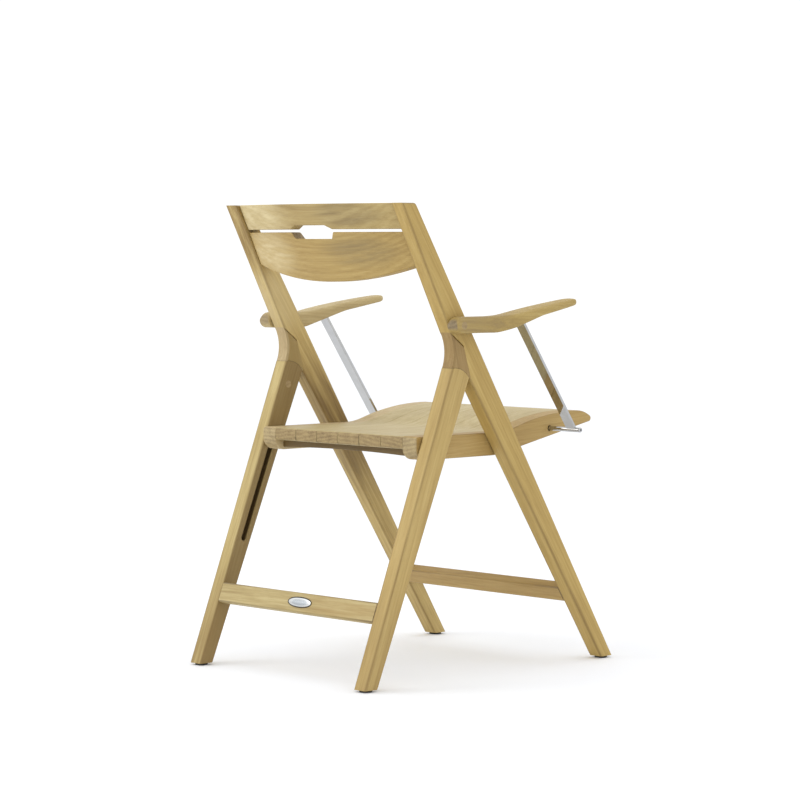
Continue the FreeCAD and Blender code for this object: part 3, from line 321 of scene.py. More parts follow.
def makeMetal(name, colour, roughness, brushing, bump=0.0, field=None):
    material, tree, shader, coords = startMaterial(name)
    place = coords.outputs["Object"]
    smears = addNoise(tree, place, brushing, *metalTone["smears"])
    rough = addRange(tree, smears, metalTone["roughFrom"], roughness)
    darker = [channel - metalTone["darker"] for channel in colour]
    tint = addRamp(tree, smears, [
        (metalTone["band"][0], toLinear(*colour)), (metalTone["band"][1], toLinear(*darker))])
    if field:
        offset = addVector(tree, "SUBTRACT", place, field["centre"])
        distance = addVector(tree, "LENGTH", addVector(tree, "DIVIDE", offset, field["reach"]))
        inside = addRange(tree, distance, metalTone["fieldEdge"], (metalTone["fieldDepth"], 0.0))
        tint = addMix(tree, inside, tint, toLinear(*field["colour"]))
    tree.links.new(tint, shader.inputs["Base Color"])
    tree.links.new(rough, shader.inputs["Roughness"])
    if bump:
        relief = addNode(tree, "ShaderNodeBump", {
            "Height": smears, "Strength": bump, "Distance": metalTone["relief"]})
        tree.links.new(relief.outputs[0], shader.inputs["Normal"])
    shader.inputs["Metallic"].default_value = 1.0
    return material


def makePlastic(name, colour, roughness):
    material, tree, shader, coords = startMaterial(name)
    grit = addNoise(tree, coords.outputs["Object"], *plasticTone["grit"])
    lighter = [channel + plasticTone["lighter"] for channel in colour]
    tint = addRamp(tree, grit, [
        (plasticTone["band"][0], toLinear(*colour)), (plasticTone["band"][1], toLinear(*lighter))])
    rough = addRange(tree, grit, (0.0, 1.0), [roughness + change for change in plasticTone["roughness"]])
    tree.links.new(tint, shader.inputs["Base Color"])
    tree.links.new(rough, shader.inputs["Roughness"])
    relief = addNode(tree, "ShaderNodeBump", {
        "Height": grit, "Strength": plasticTone["bump"], "Distance": plasticTone["relief"]})
    tree.links.new(relief.outputs[0], shader.inputs["Normal"])
    return material


# Rear or front face of a leaning timber: its normal in Y and Z, and its distance from the origin

def facePlane(slope, footY):
    size = math.hypot(1, slope)
    return (1 / size, -slope / size, footY / size)


timber = {"middle": 0.2287, "half": 0.0155}
stileGrain = (0, 0.6083, 1)
legGrain = (0, -0.4024, 1)
stileArrises = (facePlane(0.6568, -0.2973), facePlane(0.5188, -0.2173))
legArrises = (facePlane(-0.3836, 0.3272),)
acrossX = (1, 0, 0)
rearBarFace = (0, 0.9337, 0.3581)
frontBarFace = (0, 0.8358, -0.5490)
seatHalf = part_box("left_seat_rail")[0].x
staveCount = 6
# Painted shade at the stave joints: where they fall, how wide and how dark
staveJointShade = {
    "start": seatHalf, "step": 2 * seatHalf / staveCount, "reach": (0.0006, 0.0018), "depth": 0.9,
    "topShare": 0.12, "streaks": (0.40, 0.60), "strength": (0.15, 1.1), "colour": (64, 50, 30),
}
plateLow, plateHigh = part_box("oval_plate")
plateCentre = (-0.0125, (plateLow.y + plateHigh.y) / 2, (plateLow.z + plateHigh.z) / 2)
capCentre = (0, -0.183, 0.448)  # line of the strut rods, seen from the side
# Painted shade for the groove in each rear leg: plane of the groove, its width and how it darkens inwards
legGrooveShade = {
    "normal": (0.9277, 0.3733), "offset": 0.9277 * 0.1025 + 0.3733 * 0.5264 - 0.0023, "half": 0.0067,
    "nearX": timber["middle"] - timber["half"], "farX": 0.236, "fade": (0.0004, 0.0040),
    "colour": (74, 56, 28), "depth": 0.95,
}
grey = {"pale": (176, 152, 106), "middle": (156, 130, 86), "dark": (134, 108, 68)}
bleached = {"pale": (204, 186, 146), "middle": (189, 168, 125), "dark": (167, 145, 101)}
railEnd = {"endPale": (184, 164, 120), "endDark": (138, 119, 83)}
paleStub = {"endPale": (166, 147, 110), "endDark": (136, 118, 84), "cutFrom": (0.66, 0.90)}
darkStub = {"endPale": (146, 128, 96), "endDark": (108, 92, 64), "cutFrom": (0.66, 0.90)}
looks = {
    "leftStile": makeTeak(
        "teakLeftStile", stileGrain, (0.055, 0.03), 2.0, (1.02, 1.04, 0.98), arrises=stileArrises,
        edgeAxis=acrossX, spread=0.62, spots=[
            # painted shade on the inner side next to the seat and next to the back boards, then a paler
            # patch above the armrest
            ((0.22, -0.06, 0.46), (0.06, 0.16, 0.20), (112, 90, 56), 0.62),
            ((0.23, 0.22, 0.85), (0.06, 0.10, 0.13), (126, 98, 50), 0.55),
            ((0.23, 0.12, 0.69), (0.06, 0.08, 0.08), (214, 196, 150), 0.35)]),
    "rightStile": makeTeak(
        "teakRightStile", stileGrain, (0.27, -0.02), 1.5, (0.97, 0.94, 0.75), arrises=stileArrises,
        edgeAxis=acrossX),
    "leftLeg": makeTeak(
        "teakLeftLeg", legGrain, (-0.19, 0.04), 1.2, (1.01, 1.08, 1.10), arrises=legArrises,
        edgeAxis=acrossX, groove=legGrooveShade, sideTone=((118, 94, 53), 0.75), spread=0.62,
        spots=[((0.23, 0.30, 0.04), (0.06, 0.12, 0.18), (140, 114, 66), 0.45)]),
    "rightLeg": makeTeak(
        "teakRightLeg", legGrain, (0.26, 0.05), 1.8, (0.995, 0.985, 0.885), arrises=legArrises,
        edgeAxis=acrossX, groove=legGrooveShade,
        spots=[((-0.23, 0.30, 0.04), (0.06, 0.12, 0.18), (140, 114, 66), 0.28)]),
    "leftBlock": makeTeak(
        "teakLeftBlock", (0, 0.15, 1), (-0.2, 0.02), 5.0, (1.40, 1.58, 1.95),
        sideTone=((142, 118, 62), 0.8), edgeAxis=acrossX, **grey),
    "rightBlock": makeTeak(
        "teakRightBlock", (0, 0.15, 1), (0.2, 0.04), 5.0, (0.92, 0.89, 0.78), edgeAxis=acrossX, **grey),
    "upperBoard": makeTeak(
        "teakUpperBoard", (1, 0, 0), (0.86, 0.12), 1.6, (0.91, 0.94, 0.95), rings=0.08, spots=[
            # darker patch towards the right end, paler patch towards the left end: partly the wood's own
            # figure, partly painted shade and painted light
            ((-0.10, 0.23, 0.85), (0.09, 0.08, 0.026), (130, 112, 76), 0.62),
            ((0.15, 0.22, 0.85), (0.11, 0.08, 0.05), (218, 202, 156), 0.6)]),
    "lowerBoard": makeTeak(
        "teakLowerBoard", (1, 0, 0), (0.72, 0.16), 1.2, (0.91, 0.88, 0.75), rings=0.08, spots=[
            # darker patch towards the right end, paler patch towards the left end: partly the wood's own
            # figure, partly painted shade and painted light
            ((-0.10, 0.20, 0.785), (0.10, 0.08, 0.036), (136, 118, 80), 0.52),
            ((0.15, 0.20, 0.78), (0.09, 0.08, 0.05), (212, 194, 148), 0.6)]),
    "frontBar": makeTeak(
        "teakFrontBar", (1, 0, 0), (0.08, 0.2), 2.0, (0.89, 0.84, 0.77), edgeAxis=frontBarFace),
    "rearBar": makeTeak(
        "teakRearBar", (1, 0, 0), (0.1, -0.33), 1.4, (0.97, 1.06, 1.20), edgeAxis=rearBarFace, spread=0.62,
        spots=[((-0.14, 0.30, 0.137), (0.14, 0.10, 0.06), (168, 138, 84), 0.35)]),
    # the cross rails are tinted very dark: painted shade under the seat
    "crossRails": makeTeak("teakShadedCrossRails", (1, 0, 0), (0.4, 0.1), 2.0, (0.30, 0.27, 0.22)),
    "leftRail": makeTeak("teakLeftRail", (0, 1, 0), (-0.23, -0.40), 2.2, **railEnd, **bleached),
    "rightRail": makeTeak(
        "teakRightRail", (0, 1, 0), (0.24, -0.38), 2.6, (0.895, 0.845, 0.74), edgeAxis=acrossX, **railEnd),
    "staves": makeTeak(
        "teakStaves", (0, 1, 0), (0.0, -0.47), 2.0, (0.96, 1.01, 0.97), shift="staveShift",
        seams=staveJointShade, endPale=(169, 147, 101), endDark=(125, 104, 69), **bleached),
    "leftArm": makeTeak("teakLeftArm", (0, 1, 0.1), (-0.31, -0.60), 3.0, (1.0, 1.09, 1.32), **paleStub),
    "rightArm": makeTeak(
        "teakRightArm", (0, 1, 0.1), (0.29, -0.59), 3.4, (0.87, 0.87, 0.71), **darkStub,
        # painted shade on the rear stub of the armrest
        spots=[((-0.27, 0.06, 0.65), (0.06, 0.08, 0.03), (140, 120, 86), 0.45)]),
    "plugs": makeTeak(
        "teakPlugs", (1, 0, 0), (0.0, 0.0), 2.0, endPale=(166, 144, 102), endDark=(140, 118, 80)),
    "mirrorSteel": makeMetal("mirrorSteel", (188, 188, 187), (0.03, 0.07), (60, 60, 60)),
    "plainSteel": makeMetal("plainSteel", (178, 178, 180), (0.28, 0.42), (900, 60, 900), 0.1),
    "plate": makeMetal("satinPlate", (206, 208, 208), (0.22, 0.34), (60, 1400, 1400), 0.08, {
        "centre": plateCentre, "reach": (0.0235, 1.0, 0.0062), "colour": (152, 158, 163)}),
    # dark rim finish: painted shadow along the plate's edge
    "plateRim": makeMetal("darkPlateRim", (84, 80, 72), (0.35, 0.50), (500, 500, 500)),
    "capSteel": makeMetal("capSteel", (190, 190, 190), (0.10, 0.18), (60, 60, 60), field={
        "centre": capCentre, "reach": (1.0, 0.0024, 0.0024), "colour": (44, 42, 40)}),
    "glides": makePlastic("blackGlide", (26, 25, 24), 0.55),
}
print("finishes made:", len(looks))


# Softened copies of the CAD pieces: merged, cleaned and rounded along their sharp edges.
# The feet get a wider chamfer, and the shoulders of the stretchers stay square.

def cleanMesh(node):
    mesh = bpy.data.meshes.new(node)
    shape = bmesh.new()
    shape.from_mesh(nodes[node].data)
    bmesh.ops.remove_doubles(shape, verts=shape.verts, dist=merge["distance"])
    flat = math.radians(merge["flat"])
    bmesh.ops.dissolve_limit(shape, angle_limit=flat, verts=shape.verts, edges=shape.edges)
    for face in shape.faces:
        face.smooth = True
    shape.to_mesh(mesh)
    shape.free()
    for layer in ("custom_normal", "sharp_edge", "sharp_face"):
        if layer in mesh.attributes:
            mesh.attributes.remove(mesh.attributes[layer])
    return mesh


def newPiece(name, mesh, material, body, slot, *replaced):
    piece = bpy.data.objects.new(name, mesh)
    bpy.context.scene.collection.objects.link(piece)
    mesh.materials.clear()
    mesh.materials.append(material)
    if replaced:
        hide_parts(*replaced)
    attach(piece, body)
    return piece


edges = {"sharp": 32, "footZ": 0.0045, "footWidth": 0.0026, "segments": 3, "shoulder": 0.02}
merge = {"distance": 0.000005, "flat": 0.4}


def weighEdges(mesh, width):
    shape = bmesh.new()
    shape.from_mesh(mesh)
    weights = shape.edges.layers.float.new("bevel_weight_edge")
    reach = max(abs(vert.co.x) for vert in shape.verts)
    for edge in shape.edges:
        ends = [vert.co for vert in edge.verts]
        if len(edge.link_faces) != 2 or edge.calc_face_angle() < math.radians(edges["sharp"]):
            continue
        atFoot = all(end.z < edges["footZ"] for end in ends)
        atShoulder = width["square"] and all(abs(end.x) > reach - edges["shoulder"] for end in ends)
        edge[weights] = 0.0 if atShoulder else 1.0 if atFoot else width["round"] / edges["footWidth"]
    shape.to_mesh(mesh)
    shape.free()


def addBevel(piece, width):
    weighEdges(piece.data, width)
    bevel = piece.modifiers.new("roundedEdges", "BEVEL")
    bevel.width = edges["footWidth"]
    bevel.segments = edges["segments"]
    bevel.limit_method = "WEIGHT"
    bevel.miter_outer = "MITER_ARC"
    weighted = piece.modifiers.new("evenShading", "WEIGHTED_NORMAL")
    weighted.keep_sharp = True
    return piece


def raiseLowerEdge(mesh, rise):
    middle = sum(vert.co.z for vert in mesh.vertices) / len(mesh.vertices)
    for vert in mesh.vertices:
        if vert.co.z < middle:
            vert.co.z += rise


crossRailLift = 0.0035  # less of the rear cross rail shows below the seat
softPieces = {
    "left_stile": ("leftStile", "back_frame", "teak", 0.0010),
    "right_stile": ("rightStile", "back_frame", "teak", 0.0010),
    "left_hinge_block": ("leftBlock", "back_frame", "teak_dark", 0.0006),
    "right_hinge_block": ("rightBlock", "back_frame", "teak_dark", 0.0006),
    "upper_back_board": ("upperBoard", "back_frame", "teak", 0.0020),
    "lower_back_board": ("lowerBoard", "back_frame", "teak", 0.0020),
    "front_stretcher": ("frontBar", "back_frame", "teak", 0.0010),
    "left_rear_leg": ("leftLeg", "rear_legs", "teak", 0.0010),
    "right_rear_leg": ("rightLeg", "rear_legs", "teak", 0.0010),
    "rear_stretcher": ("rearBar", "rear_legs", "teak", 0.0010),
    "left_seat_rail": ("leftRail", "seat", "teak_pale", 0.0010),
    "right_seat_rail": ("rightRail", "seat", "teak_pale", 0.0010),
    # the cross rails carry painted shade under the seat
    "rear_cross_rail": ("crossRails", "seat", "teak", 0.0015),
    "middle_cross_rail": ("crossRails", "seat", "teak", 0.0015),
    "front_cross_rail": ("crossRails", "seat", "teak", 0.0015),
    "left_strut": ("mirrorSteel", "left_strut_arm", "mirror_steel", 0.0005),
    "right_strut": ("mirrorSteel", "right_strut_arm", "mirror_steel", 0.0005),
}
for node, (look, body, slot, width) in softPieces.items():
    words = node.split("_")
    name = words[0] + "".join(word.capitalize() for word in words[1:])
    piece = newPiece(name, cleanMesh(node), looks[look], body, slot, node)
    if node == "rear_cross_rail":
        raiseLowerEdge(piece.data, crossRailLift)
    addBevel(piece, {"round": width, "square": "stretcher" in node})
print("softened pieces:", len(softPieces))


# Seat staves: one profile with a rounded rear edge and nose, repeated across the seat

seat = {
    "rearY": 0.169, "level": 0.447, "dipY": -0.044, "dipRadius": 0.150, "swellRadius": 0.552, "ramp": 17.3,
    "browRadius": 0.070, "browTurn": 33.0, "noseRadius": 0.006, "underRamp": 12.0, "thick": 0.0235,
    "clearHalf": seatHalf, "count": staveCount, "joint": 0.0009,
    "edge": 0.0007, "edgeSegments": 2, "edgeAngle": 40,
    "rearRound": 0.006, "rearLowRound": 0.004, "flat": 0.0055, "flatFrom": 0.001,
    "shift": (0.02, 0.9, 0.03), "seed": 7,
}
crestY = seat["dipY"] - (seat["dipRadius"] + seat["swellRadius"]) * math.sin(math.radians(seat["ramp"]))


def arcPoints(centre, radius, first, last, steps):
    points = []
    for number in range(steps + 1):
        angle = math.radians(first + (last - first) * number / steps)
        points.append((centre[0] + radius * math.cos(angle), centre[1] + radius * math.sin(angle)))
    return points


def staveProfile():
    ramp = math.radians(seat["ramp"])
    rise = seat["dipRadius"] * (1 - math.cos(ramp)) + seat["swellRadius"] * (1 - math.cos(ramp))
    crestZ = seat["level"] + rise
    rearRound, lowRound, thick = seat["rearRound"], seat["rearLowRound"], seat["thick"]
    points = arcPoints((seat["rearY"] - rearRound, seat["level"] - rearRound), rearRound, 0, 90, 6)
    dipCentre = (seat["dipY"], seat["level"] + seat["dipRadius"])
    swellCentre = (crestY, crestZ - seat["swellRadius"])
    points += arcPoints(dipCentre, seat["dipRadius"], 270, 270 - seat["ramp"], 8)
    points += arcPoints(swellCentre, seat["swellRadius"], 90 - seat["ramp"], 90, 18)[1:]
    browCentre = (crestY - seat["flat"], crestZ - seat["browRadius"])
    points += arcPoints(browCentre, seat["browRadius"], 90, 90 + seat["browTurn"], 8)
    browY, browZ = points[-1]
    turn = math.radians(seat["browTurn"])
    nose = (browY + seat["noseRadius"] * math.sin(turn), browZ - seat["noseRadius"] * math.cos(turn))
    points += arcPoints(nose, seat["noseRadius"], 90 + seat["browTurn"], 270 - seat["underRamp"], 8)[1:]
    points += arcPoints(swellCentre, seat["swellRadius"] - thick, 90, 90 - seat["ramp"], 14)
    points += arcPoints(dipCentre, seat["dipRadius"] + thick, 270 - seat["ramp"], 270, 8)[1:]
    lowCentre = (seat["rearY"] - lowRound, seat["level"] - thick + lowRound)
    points += arcPoints(lowCentre, lowRound, 270, 360, 4)
    return points


def prismMesh(name, profile, low, high):
    mesh = bpy.data.meshes.new(name)
    shape = bmesh.new()
    near = [shape.verts.new((low, y, z)) for y, z in profile]
    far = [shape.verts.new((high, y, z)) for y, z in profile]
    shape.faces.new(near)
    shape.faces.new(far)
    for number in range(len(profile)):
        other = (number + 1) % len(profile)
        shape.faces.new((near[number], near[other], far[other], far[number]))
    bmesh.ops.recalc_face_normals(shape, faces=shape.faces)
    for face in shape.faces:
        face.smooth = True
    shape.to_mesh(mesh)
    shape.free()
    return mesh


def staveTree():
    tree = bpy.data.node_groups.new("staveRow", "GeometryNodeTree")
    sockets = tree.interface
    sockets.new_socket("Geometry", in_out="INPUT", socket_type="NodeSocketGeometry")
    for name, kind in (("Count", "Int"), ("Pitch", "Float"), ("First X", "Float"), ("Seed", "Int"),
                       ("Finish", "Material")):
        sockets.new_socket(name, in_out="INPUT", socket_type="NodeSocket" + kind)
    sockets.new_socket("Geometry", in_out="OUTPUT", socket_type="NodeSocketGeometry")
    entry = tree.nodes.new("NodeGroupInput")
    pitch = addNode(tree, "ShaderNodeCombineXYZ", {0: entry.outputs["Pitch"]})
    first = addNode(tree, "ShaderNodeCombineXYZ", {0: entry.outputs["First X"]})
    row = addNode(tree, "GeometryNodeMeshLine", {
        "Count": entry.outputs["Count"], "Start Location": first.outputs[0], "Offset": pitch.outputs[0]})
    staves = addNode(tree, "GeometryNodeInstanceOnPoints", {
        "Points": row.outputs[0], "Instance": entry.outputs["Geometry"]})
    shift = addNode(tree, "FunctionNodeRandomValue", {
        0: [-reach for reach in seat["shift"]], 1: seat["shift"], "Seed": entry.outputs["Seed"]},
        data_type="FLOAT_VECTOR")
    named = addNode(tree, "GeometryNodeStoreNamedAttribute", {
        "Geometry": staves.outputs[0], "Name": "staveShift", "Value": shift.outputs[0]},
        data_type="FLOAT_VECTOR", domain="INSTANCE")
    real = addNode(tree, "GeometryNodeRealizeInstances", {"Geometry": named.outputs[0]})
    coated = addNode(tree, "GeometryNodeSetMaterial", {
        "Geometry": real.outputs[0], "Material": entry.outputs["Finish"]})
    leave = tree.nodes.new("NodeGroupOutput")
    tree.links.new(coated.outputs[0], leave.inputs[0])
    return tree


def setInputs(modifier, **values):
    for item in modifier.node_group.interface.items_tree:
        if item.item_type == "SOCKET" and item.in_out == "INPUT" and item.name.replace(" ", "") in values:
            modifier[item.identifier] = values[item.name.replace(" ", "")]


def settledMesh(holder):
    bpy.context.view_layer.update()
    depsgraph = bpy.context.evaluated_depsgraph_get()
    mesh = bpy.data.meshes.new_from_object(holder.evaluated_get(depsgraph), depsgraph=depsgraph)
    bpy.data.objects.remove(holder)
    return mesh


pitch = 2 * seat["clearHalf"] / seat["count"]
halfStave = pitch / 2 - seat["joint"] / 2
single = prismMesh("oneStave", staveProfile(), -halfStave, halfStave)
holder = bpy.data.objects.new("staveHolder", single)
bpy.context.scene.collection.objects.link(holder)
rounding = holder.modifiers.new("edges", "BEVEL")
rounding.width = seat["edge"]
rounding.segments = seat["edgeSegments"]
rounding.angle_limit = math.radians(seat["edgeAngle"])
spread = holder.modifiers.new("row", "NODES")
spread.node_group = staveTree()
setInputs(spread, Count=seat["count"], Pitch=pitch, FirstX=-seat["clearHalf"] + pitch / 2,
          Seed=seat["seed"], Finish=looks["staves"])
staveMesh = settledMesh(holder)
staves = newPiece("seatStaves", staveMesh, looks["staves"], "seat", "teak_pale",
                  *["seat_slat_%d" % (number + 1) for number in range(seat["count"])])
staves.modifiers.new("evenShading", "WEIGHTED_NORMAL").keep_sharp = True
print("seat staves:", len(staveMesh.polygons), "faces")


def lengthenNose(mesh):
    for vert in mesh.vertices:
        if vert.co.y < crestY - seat["flatFrom"]:
            vert.co.y -= seat["flat"]


for name in ("leftSeatRail", "rightSeatRail"):
    lengthenNose(bpy.data.objects[name].data)


# Armrests: a smooth crowned body that follows the CAD armrest's own curves

arm = {
    "inner": 0.2452, "rearOut": 0.2735, "out": 0.298, "rearY": 0.125, "tipY": -0.190,
    "top": 0.665, "low": 0.635,
    "dipY": 0.0525, "dipRun": 0.0625, "swell": 2.250, "ramp": 10.4, "taper": 0.0055, "lowRamp": 15.9,
    "lowRound": 0.042, "lowLead": 0.043, "lowRun": 0.091, "noseRamp": 9.6, "noseRound": 0.170,
    "tipRound": 0.019, "edge": 0.0070, "lowEdge": 0.0036, "crown": 0.0026,
    "edgeShares": (0.42, 0.30), "lowEdgeShares": (0.30, 0.25), "crownShare": 0.16, "cornerSteps": 8,
    "crownSteps": 12, "pinch": 0.01, "pinchFrom": 0.9, "stations": 44, "tipThin": 0.35, "taperRun": 0.1,
    "rearTurns": (86, 80, 72, 62, 50, 38, 26, 14, 4),
    "tipTurns": (8, 17, 26, 35, 44, 53, 62, 70, 77, 83, 87),
}
wideY = arm["dipY"] - arm["dipRun"]


def armTop(y):
    ramp = math.radians(arm["ramp"])
    radius = arm["dipRun"] / math.sin(ramp)
    centre = arm["top"] + radius
    if y > arm["dipY"]:
        return arm["top"]
    if y > wideY:
        return centre - math.sqrt(radius ** 2 - (y - arm["dipY"]) ** 2)
    swellY = wideY - arm["swell"] * math.sin(ramp)
    swellZ = centre - (arm["swell"] + radius) * math.cos(ramp)
    return swellZ + math.sqrt(arm["swell"] ** 2 - (y - swellY) ** 2)


def armLow(y):
    ramp, noseRamp = math.radians(arm["lowRamp"]), math.radians(arm["noseRamp"])
    start = wideY + arm["lowLead"]
    rise = start - arm["lowRound"] * math.sin(ramp)
    riseZ = arm["low"] + arm["lowRound"] * (1 - math.cos(ramp))
    ease = rise - arm["lowRun"]
    easeZ = riseZ + arm["lowRun"] * math.tan(ramp)
    centreY = ease - arm["noseRound"] * math.sin(ramp)
    centreZ = easeZ - arm["noseRound"] * math.cos(ramp)
    nose = centreY + arm["noseRound"] * math.sin(noseRamp)
    if y > start:
        return arm["low"]
    if y > rise:
        return arm["low"] + arm["lowRound"] - math.sqrt(arm["lowRound"] ** 2 - (y - start) ** 2)
    if y > ease:
        return riseZ + (rise - y) * math.tan(ramp)
    if y > nose:
        return centreZ + math.sqrt(arm["noseRound"] ** 2 - (y - centreY) ** 2)
    return centreZ + arm["noseRound"] * math.cos(noseRamp) + (nose - y) * math.tan(noseRamp)


def armSide(y):
    if y > arm["dipY"]:
        return arm["rearOut"]
    if y > wideY:
        share = (arm["dipY"] - y) / arm["dipRun"]
        return arm["out"] - (arm["out"] - arm["rearOut"]) * (1 + math.cos(math.pi * share)) / 2
    return arm["out"] - arm["taper"] * ((wideY - y) / arm["taperRun"]) ** 2


def armSection(near, far, low, high):
    wide, tall = far - near, high - low
    upper = min(arm["edgeShares"][0] * tall, arm["edgeShares"][1] * wide, arm["edge"])
    lower = min(arm["lowEdgeShares"][0] * tall, arm["lowEdgeShares"][1] * wide, arm["lowEdge"])
    crown = min(arm["crownShare"] * tall, arm["crown"])
    corner, across = arm["cornerSteps"], arm["crownSteps"]
    points = []
    for centreX, centreZ, radius, first in (
        (near + lower, low + lower, lower, 180), (far - lower, low + lower, lower, 270),
        (far - upper, high - upper - crown, upper, 0), (near + upper, high - upper - crown, upper, 90),
    ):
        for number in range(corner + 1):
            angle = math.radians(first + 90 * number / corner)
            points.append([centreX + radius * math.cos(angle), centreZ + radius * math.sin(angle)])
        if first == 0:
            for number in range(1, across):
                share = number / across
                x = far - upper + (near - far + 2 * upper) * share
                points.append([x, high - crown])
    for point in points:
        share = (point[0] - near) / wide * 2 - 1
        if point[1] > high - crown - upper:
            point[1] += crown * (1 - share * share) * min(1.0, (point[1] - (high - crown - upper)) / upper)
    return points


def armStations():
    stations = []
    rearRound = (arm["top"] - arm["low"]) / 2
    middle = (arm["top"] + arm["low"]) / 2
    for angle in arm["rearTurns"]:
        turn = math.radians(angle)
        y = arm["rearY"] - rearRound * (1 - math.sin(turn))
        half = rearRound * math.cos(turn)
        pinch = arm["pinch"] * max(0, turn - arm["pinchFrom"]) ** 2
        stations.append((y, arm["inner"] + pinch, armSide(y) - pinch, middle - half, middle + half))
    y = arm["rearY"] - rearRound
    tipStart = arm["tipY"] + arm["tipRound"]
    for number in range(arm["stations"] + 1):
        place = y + (tipStart - y) * number / arm["stations"]
        stations.append((place, arm["inner"], armSide(place), armLow(place), armTop(place)))
    for angle in arm["tipTurns"]:
        turn = math.radians(angle)
        place = tipStart - arm["tipRound"] * math.sin(turn)
        half = arm["tipRound"] * math.cos(turn)
        reach = armSide(tipStart) - arm["inner"]
        middleX = arm["inner"] + reach / 2
        half = half * reach / 2 / arm["tipRound"]
        thin = (armTop(place) - armLow(place)) * arm["tipThin"] * (1 - math.cos(turn))
        stations.append((place, middleX - half, middleX + half, armLow(place) + thin, armTop(place) - thin))
    return stations


def loftMesh(name, side):
    mesh = bpy.data.meshes.new(name)
    shape = bmesh.new()
    rows = []
    for y, near, far, low, high in armStations():
        rows.append([shape.verts.new((side * x, y, z)) for x, z in armSection(near, far, low, high)])
    for before, after in zip(rows, rows[1:]):
        for number in range(len(before)):
            other = (number + 1) % len(before)
            shape.faces.new((before[number], before[other], after[other], after[number]))
    shape.faces.new(rows[0])
    shape.faces.new(rows[-1])
    bmesh.ops.recalc_face_normals(shape, faces=shape.faces)
    for face in shape.faces:
        face.smooth = True
    shape.to_mesh(mesh)
    shape.free()
    return mesh


def cutWith(target, cutters):
    for cutter in cutters:
        cut = target.modifiers.new("cut", "BOOLEAN")
        cut.operation = "DIFFERENCE"
        cut.solver = "EXACT"
        cut.object = cutter
    mesh = settledMesh(target)
    for cutter in cutters:
        bpy.data.objects.remove(cutter)
    return mesh


def helperObject(name, mesh):
    item = bpy.data.objects.new(name, mesh)
    bpy.context.scene.collection.objects.link(item)
    return item


def turnedMesh(name, profile, centre, axis, steps=48):
    mesh = bpy.data.meshes.new(name)
    shape = bmesh.new()
    rings = []
    for radius, along in profile:
        ring = []
        for number in range(steps if radius else 1):
            angle = 2 * math.pi * number / steps
            flat = (radius * math.cos(angle), radius * math.sin(angle))
            local = Vector((along, *flat)) if axis == "X" else Vector((*flat, along))
            ring.append(shape.verts.new(Vector(centre) + local))
        rings.append(ring)
    for before, after in zip(rings, rings[1:]):
        for number in range(steps):
            other = (number + 1) % steps
            corners = []
            for vert in (before[number % len(before)], before[other % len(before)],
                         after[other % len(after)], after[number % len(after)]):
                if vert not in corners:
                    corners.append(vert)
            if len(corners) > 2:
                shape.faces.new(corners)
    bmesh.ops.recalc_face_normals(shape, faces=shape.faces)
    for face in shape.faces:
        face.smooth = True
    shape.to_mesh(mesh)
    shape.free()
    return mesh


mortise = {
    "x": 0.2695, "half": 0.0115, "eyeY": -0.034, "eyeZ": 0.662, "topHalf": 0.007, "above": 0.0065,
    "below": 0.045, "forward": 0.038, "back": 0.078,
}
plugHole = {"radius": 0.00703, "half": 0.004, "y": 0.107, "z": 0.649}
slotTop, slotLow = mortise["eyeZ"] + mortise["above"], mortise["eyeZ"] - mortise["below"]
slotShape = [
    (mortise["eyeY"] + mortise["topHalf"], slotTop), (mortise["eyeY"] - mortise["topHalf"], slotTop),
    (mortise["eyeY"] - mortise["forward"], slotLow), (mortise["eyeY"] + mortise["back"], slotLow),
]
plugShape = [
    (0, -plugHole["half"]), (plugHole["radius"], -plugHole["half"]),
    (plugHole["radius"], plugHole["half"]), (0, plugHole["half"]),
]
for sideName, side in sides:
    body = helperObject("armHolder", loftMesh("armrest", side))
    low, high = sorted(side * (mortise["x"] + reach) for reach in (-mortise["half"], mortise["half"]))
    slotCutter = helperObject("slotCutter", prismMesh("slotCutter", slotShape, low, high))
    plugCentre = (side * arm["rearOut"], plugHole["y"], plugHole["z"])
    plugCutter = helperObject("plugCutter", turnedMesh("plugCutter", plugShape, plugCentre, "X"))
    mesh = cutWith(body, [slotCutter, plugCutter])
    piece = newPiece(sideName + "Armrest", mesh, looks[sideName + "Arm"], sideName + "_arm", "teak",
                     sideName + "_armrest")
    piece.modifiers.new("evenShading", "WEIGHTED_NORMAL").keep_sharp = True
print("armrests lofted")


# Turned pieces: glides under the feet and domed caps on the strut rods

glide = {"radius": 0.012, "height": 0.004, "rim": 0.0012, "hollow": 0.0004, "hollowShare": 0.55}


def glideProfile():
    radius, rim = glide["radius"], glide["rim"]
    profile = [(0, glide["hollow"]), (radius * glide["hollowShare"], 0.0)]
    for number in range(6):
        angle = math.radians(90 * number / 5)
        profile.append((radius - rim + rim * math.sin(angle), rim - rim * math.cos(angle)))
    return profile + [(radius, glide["height"]), (0, glide["height"])]


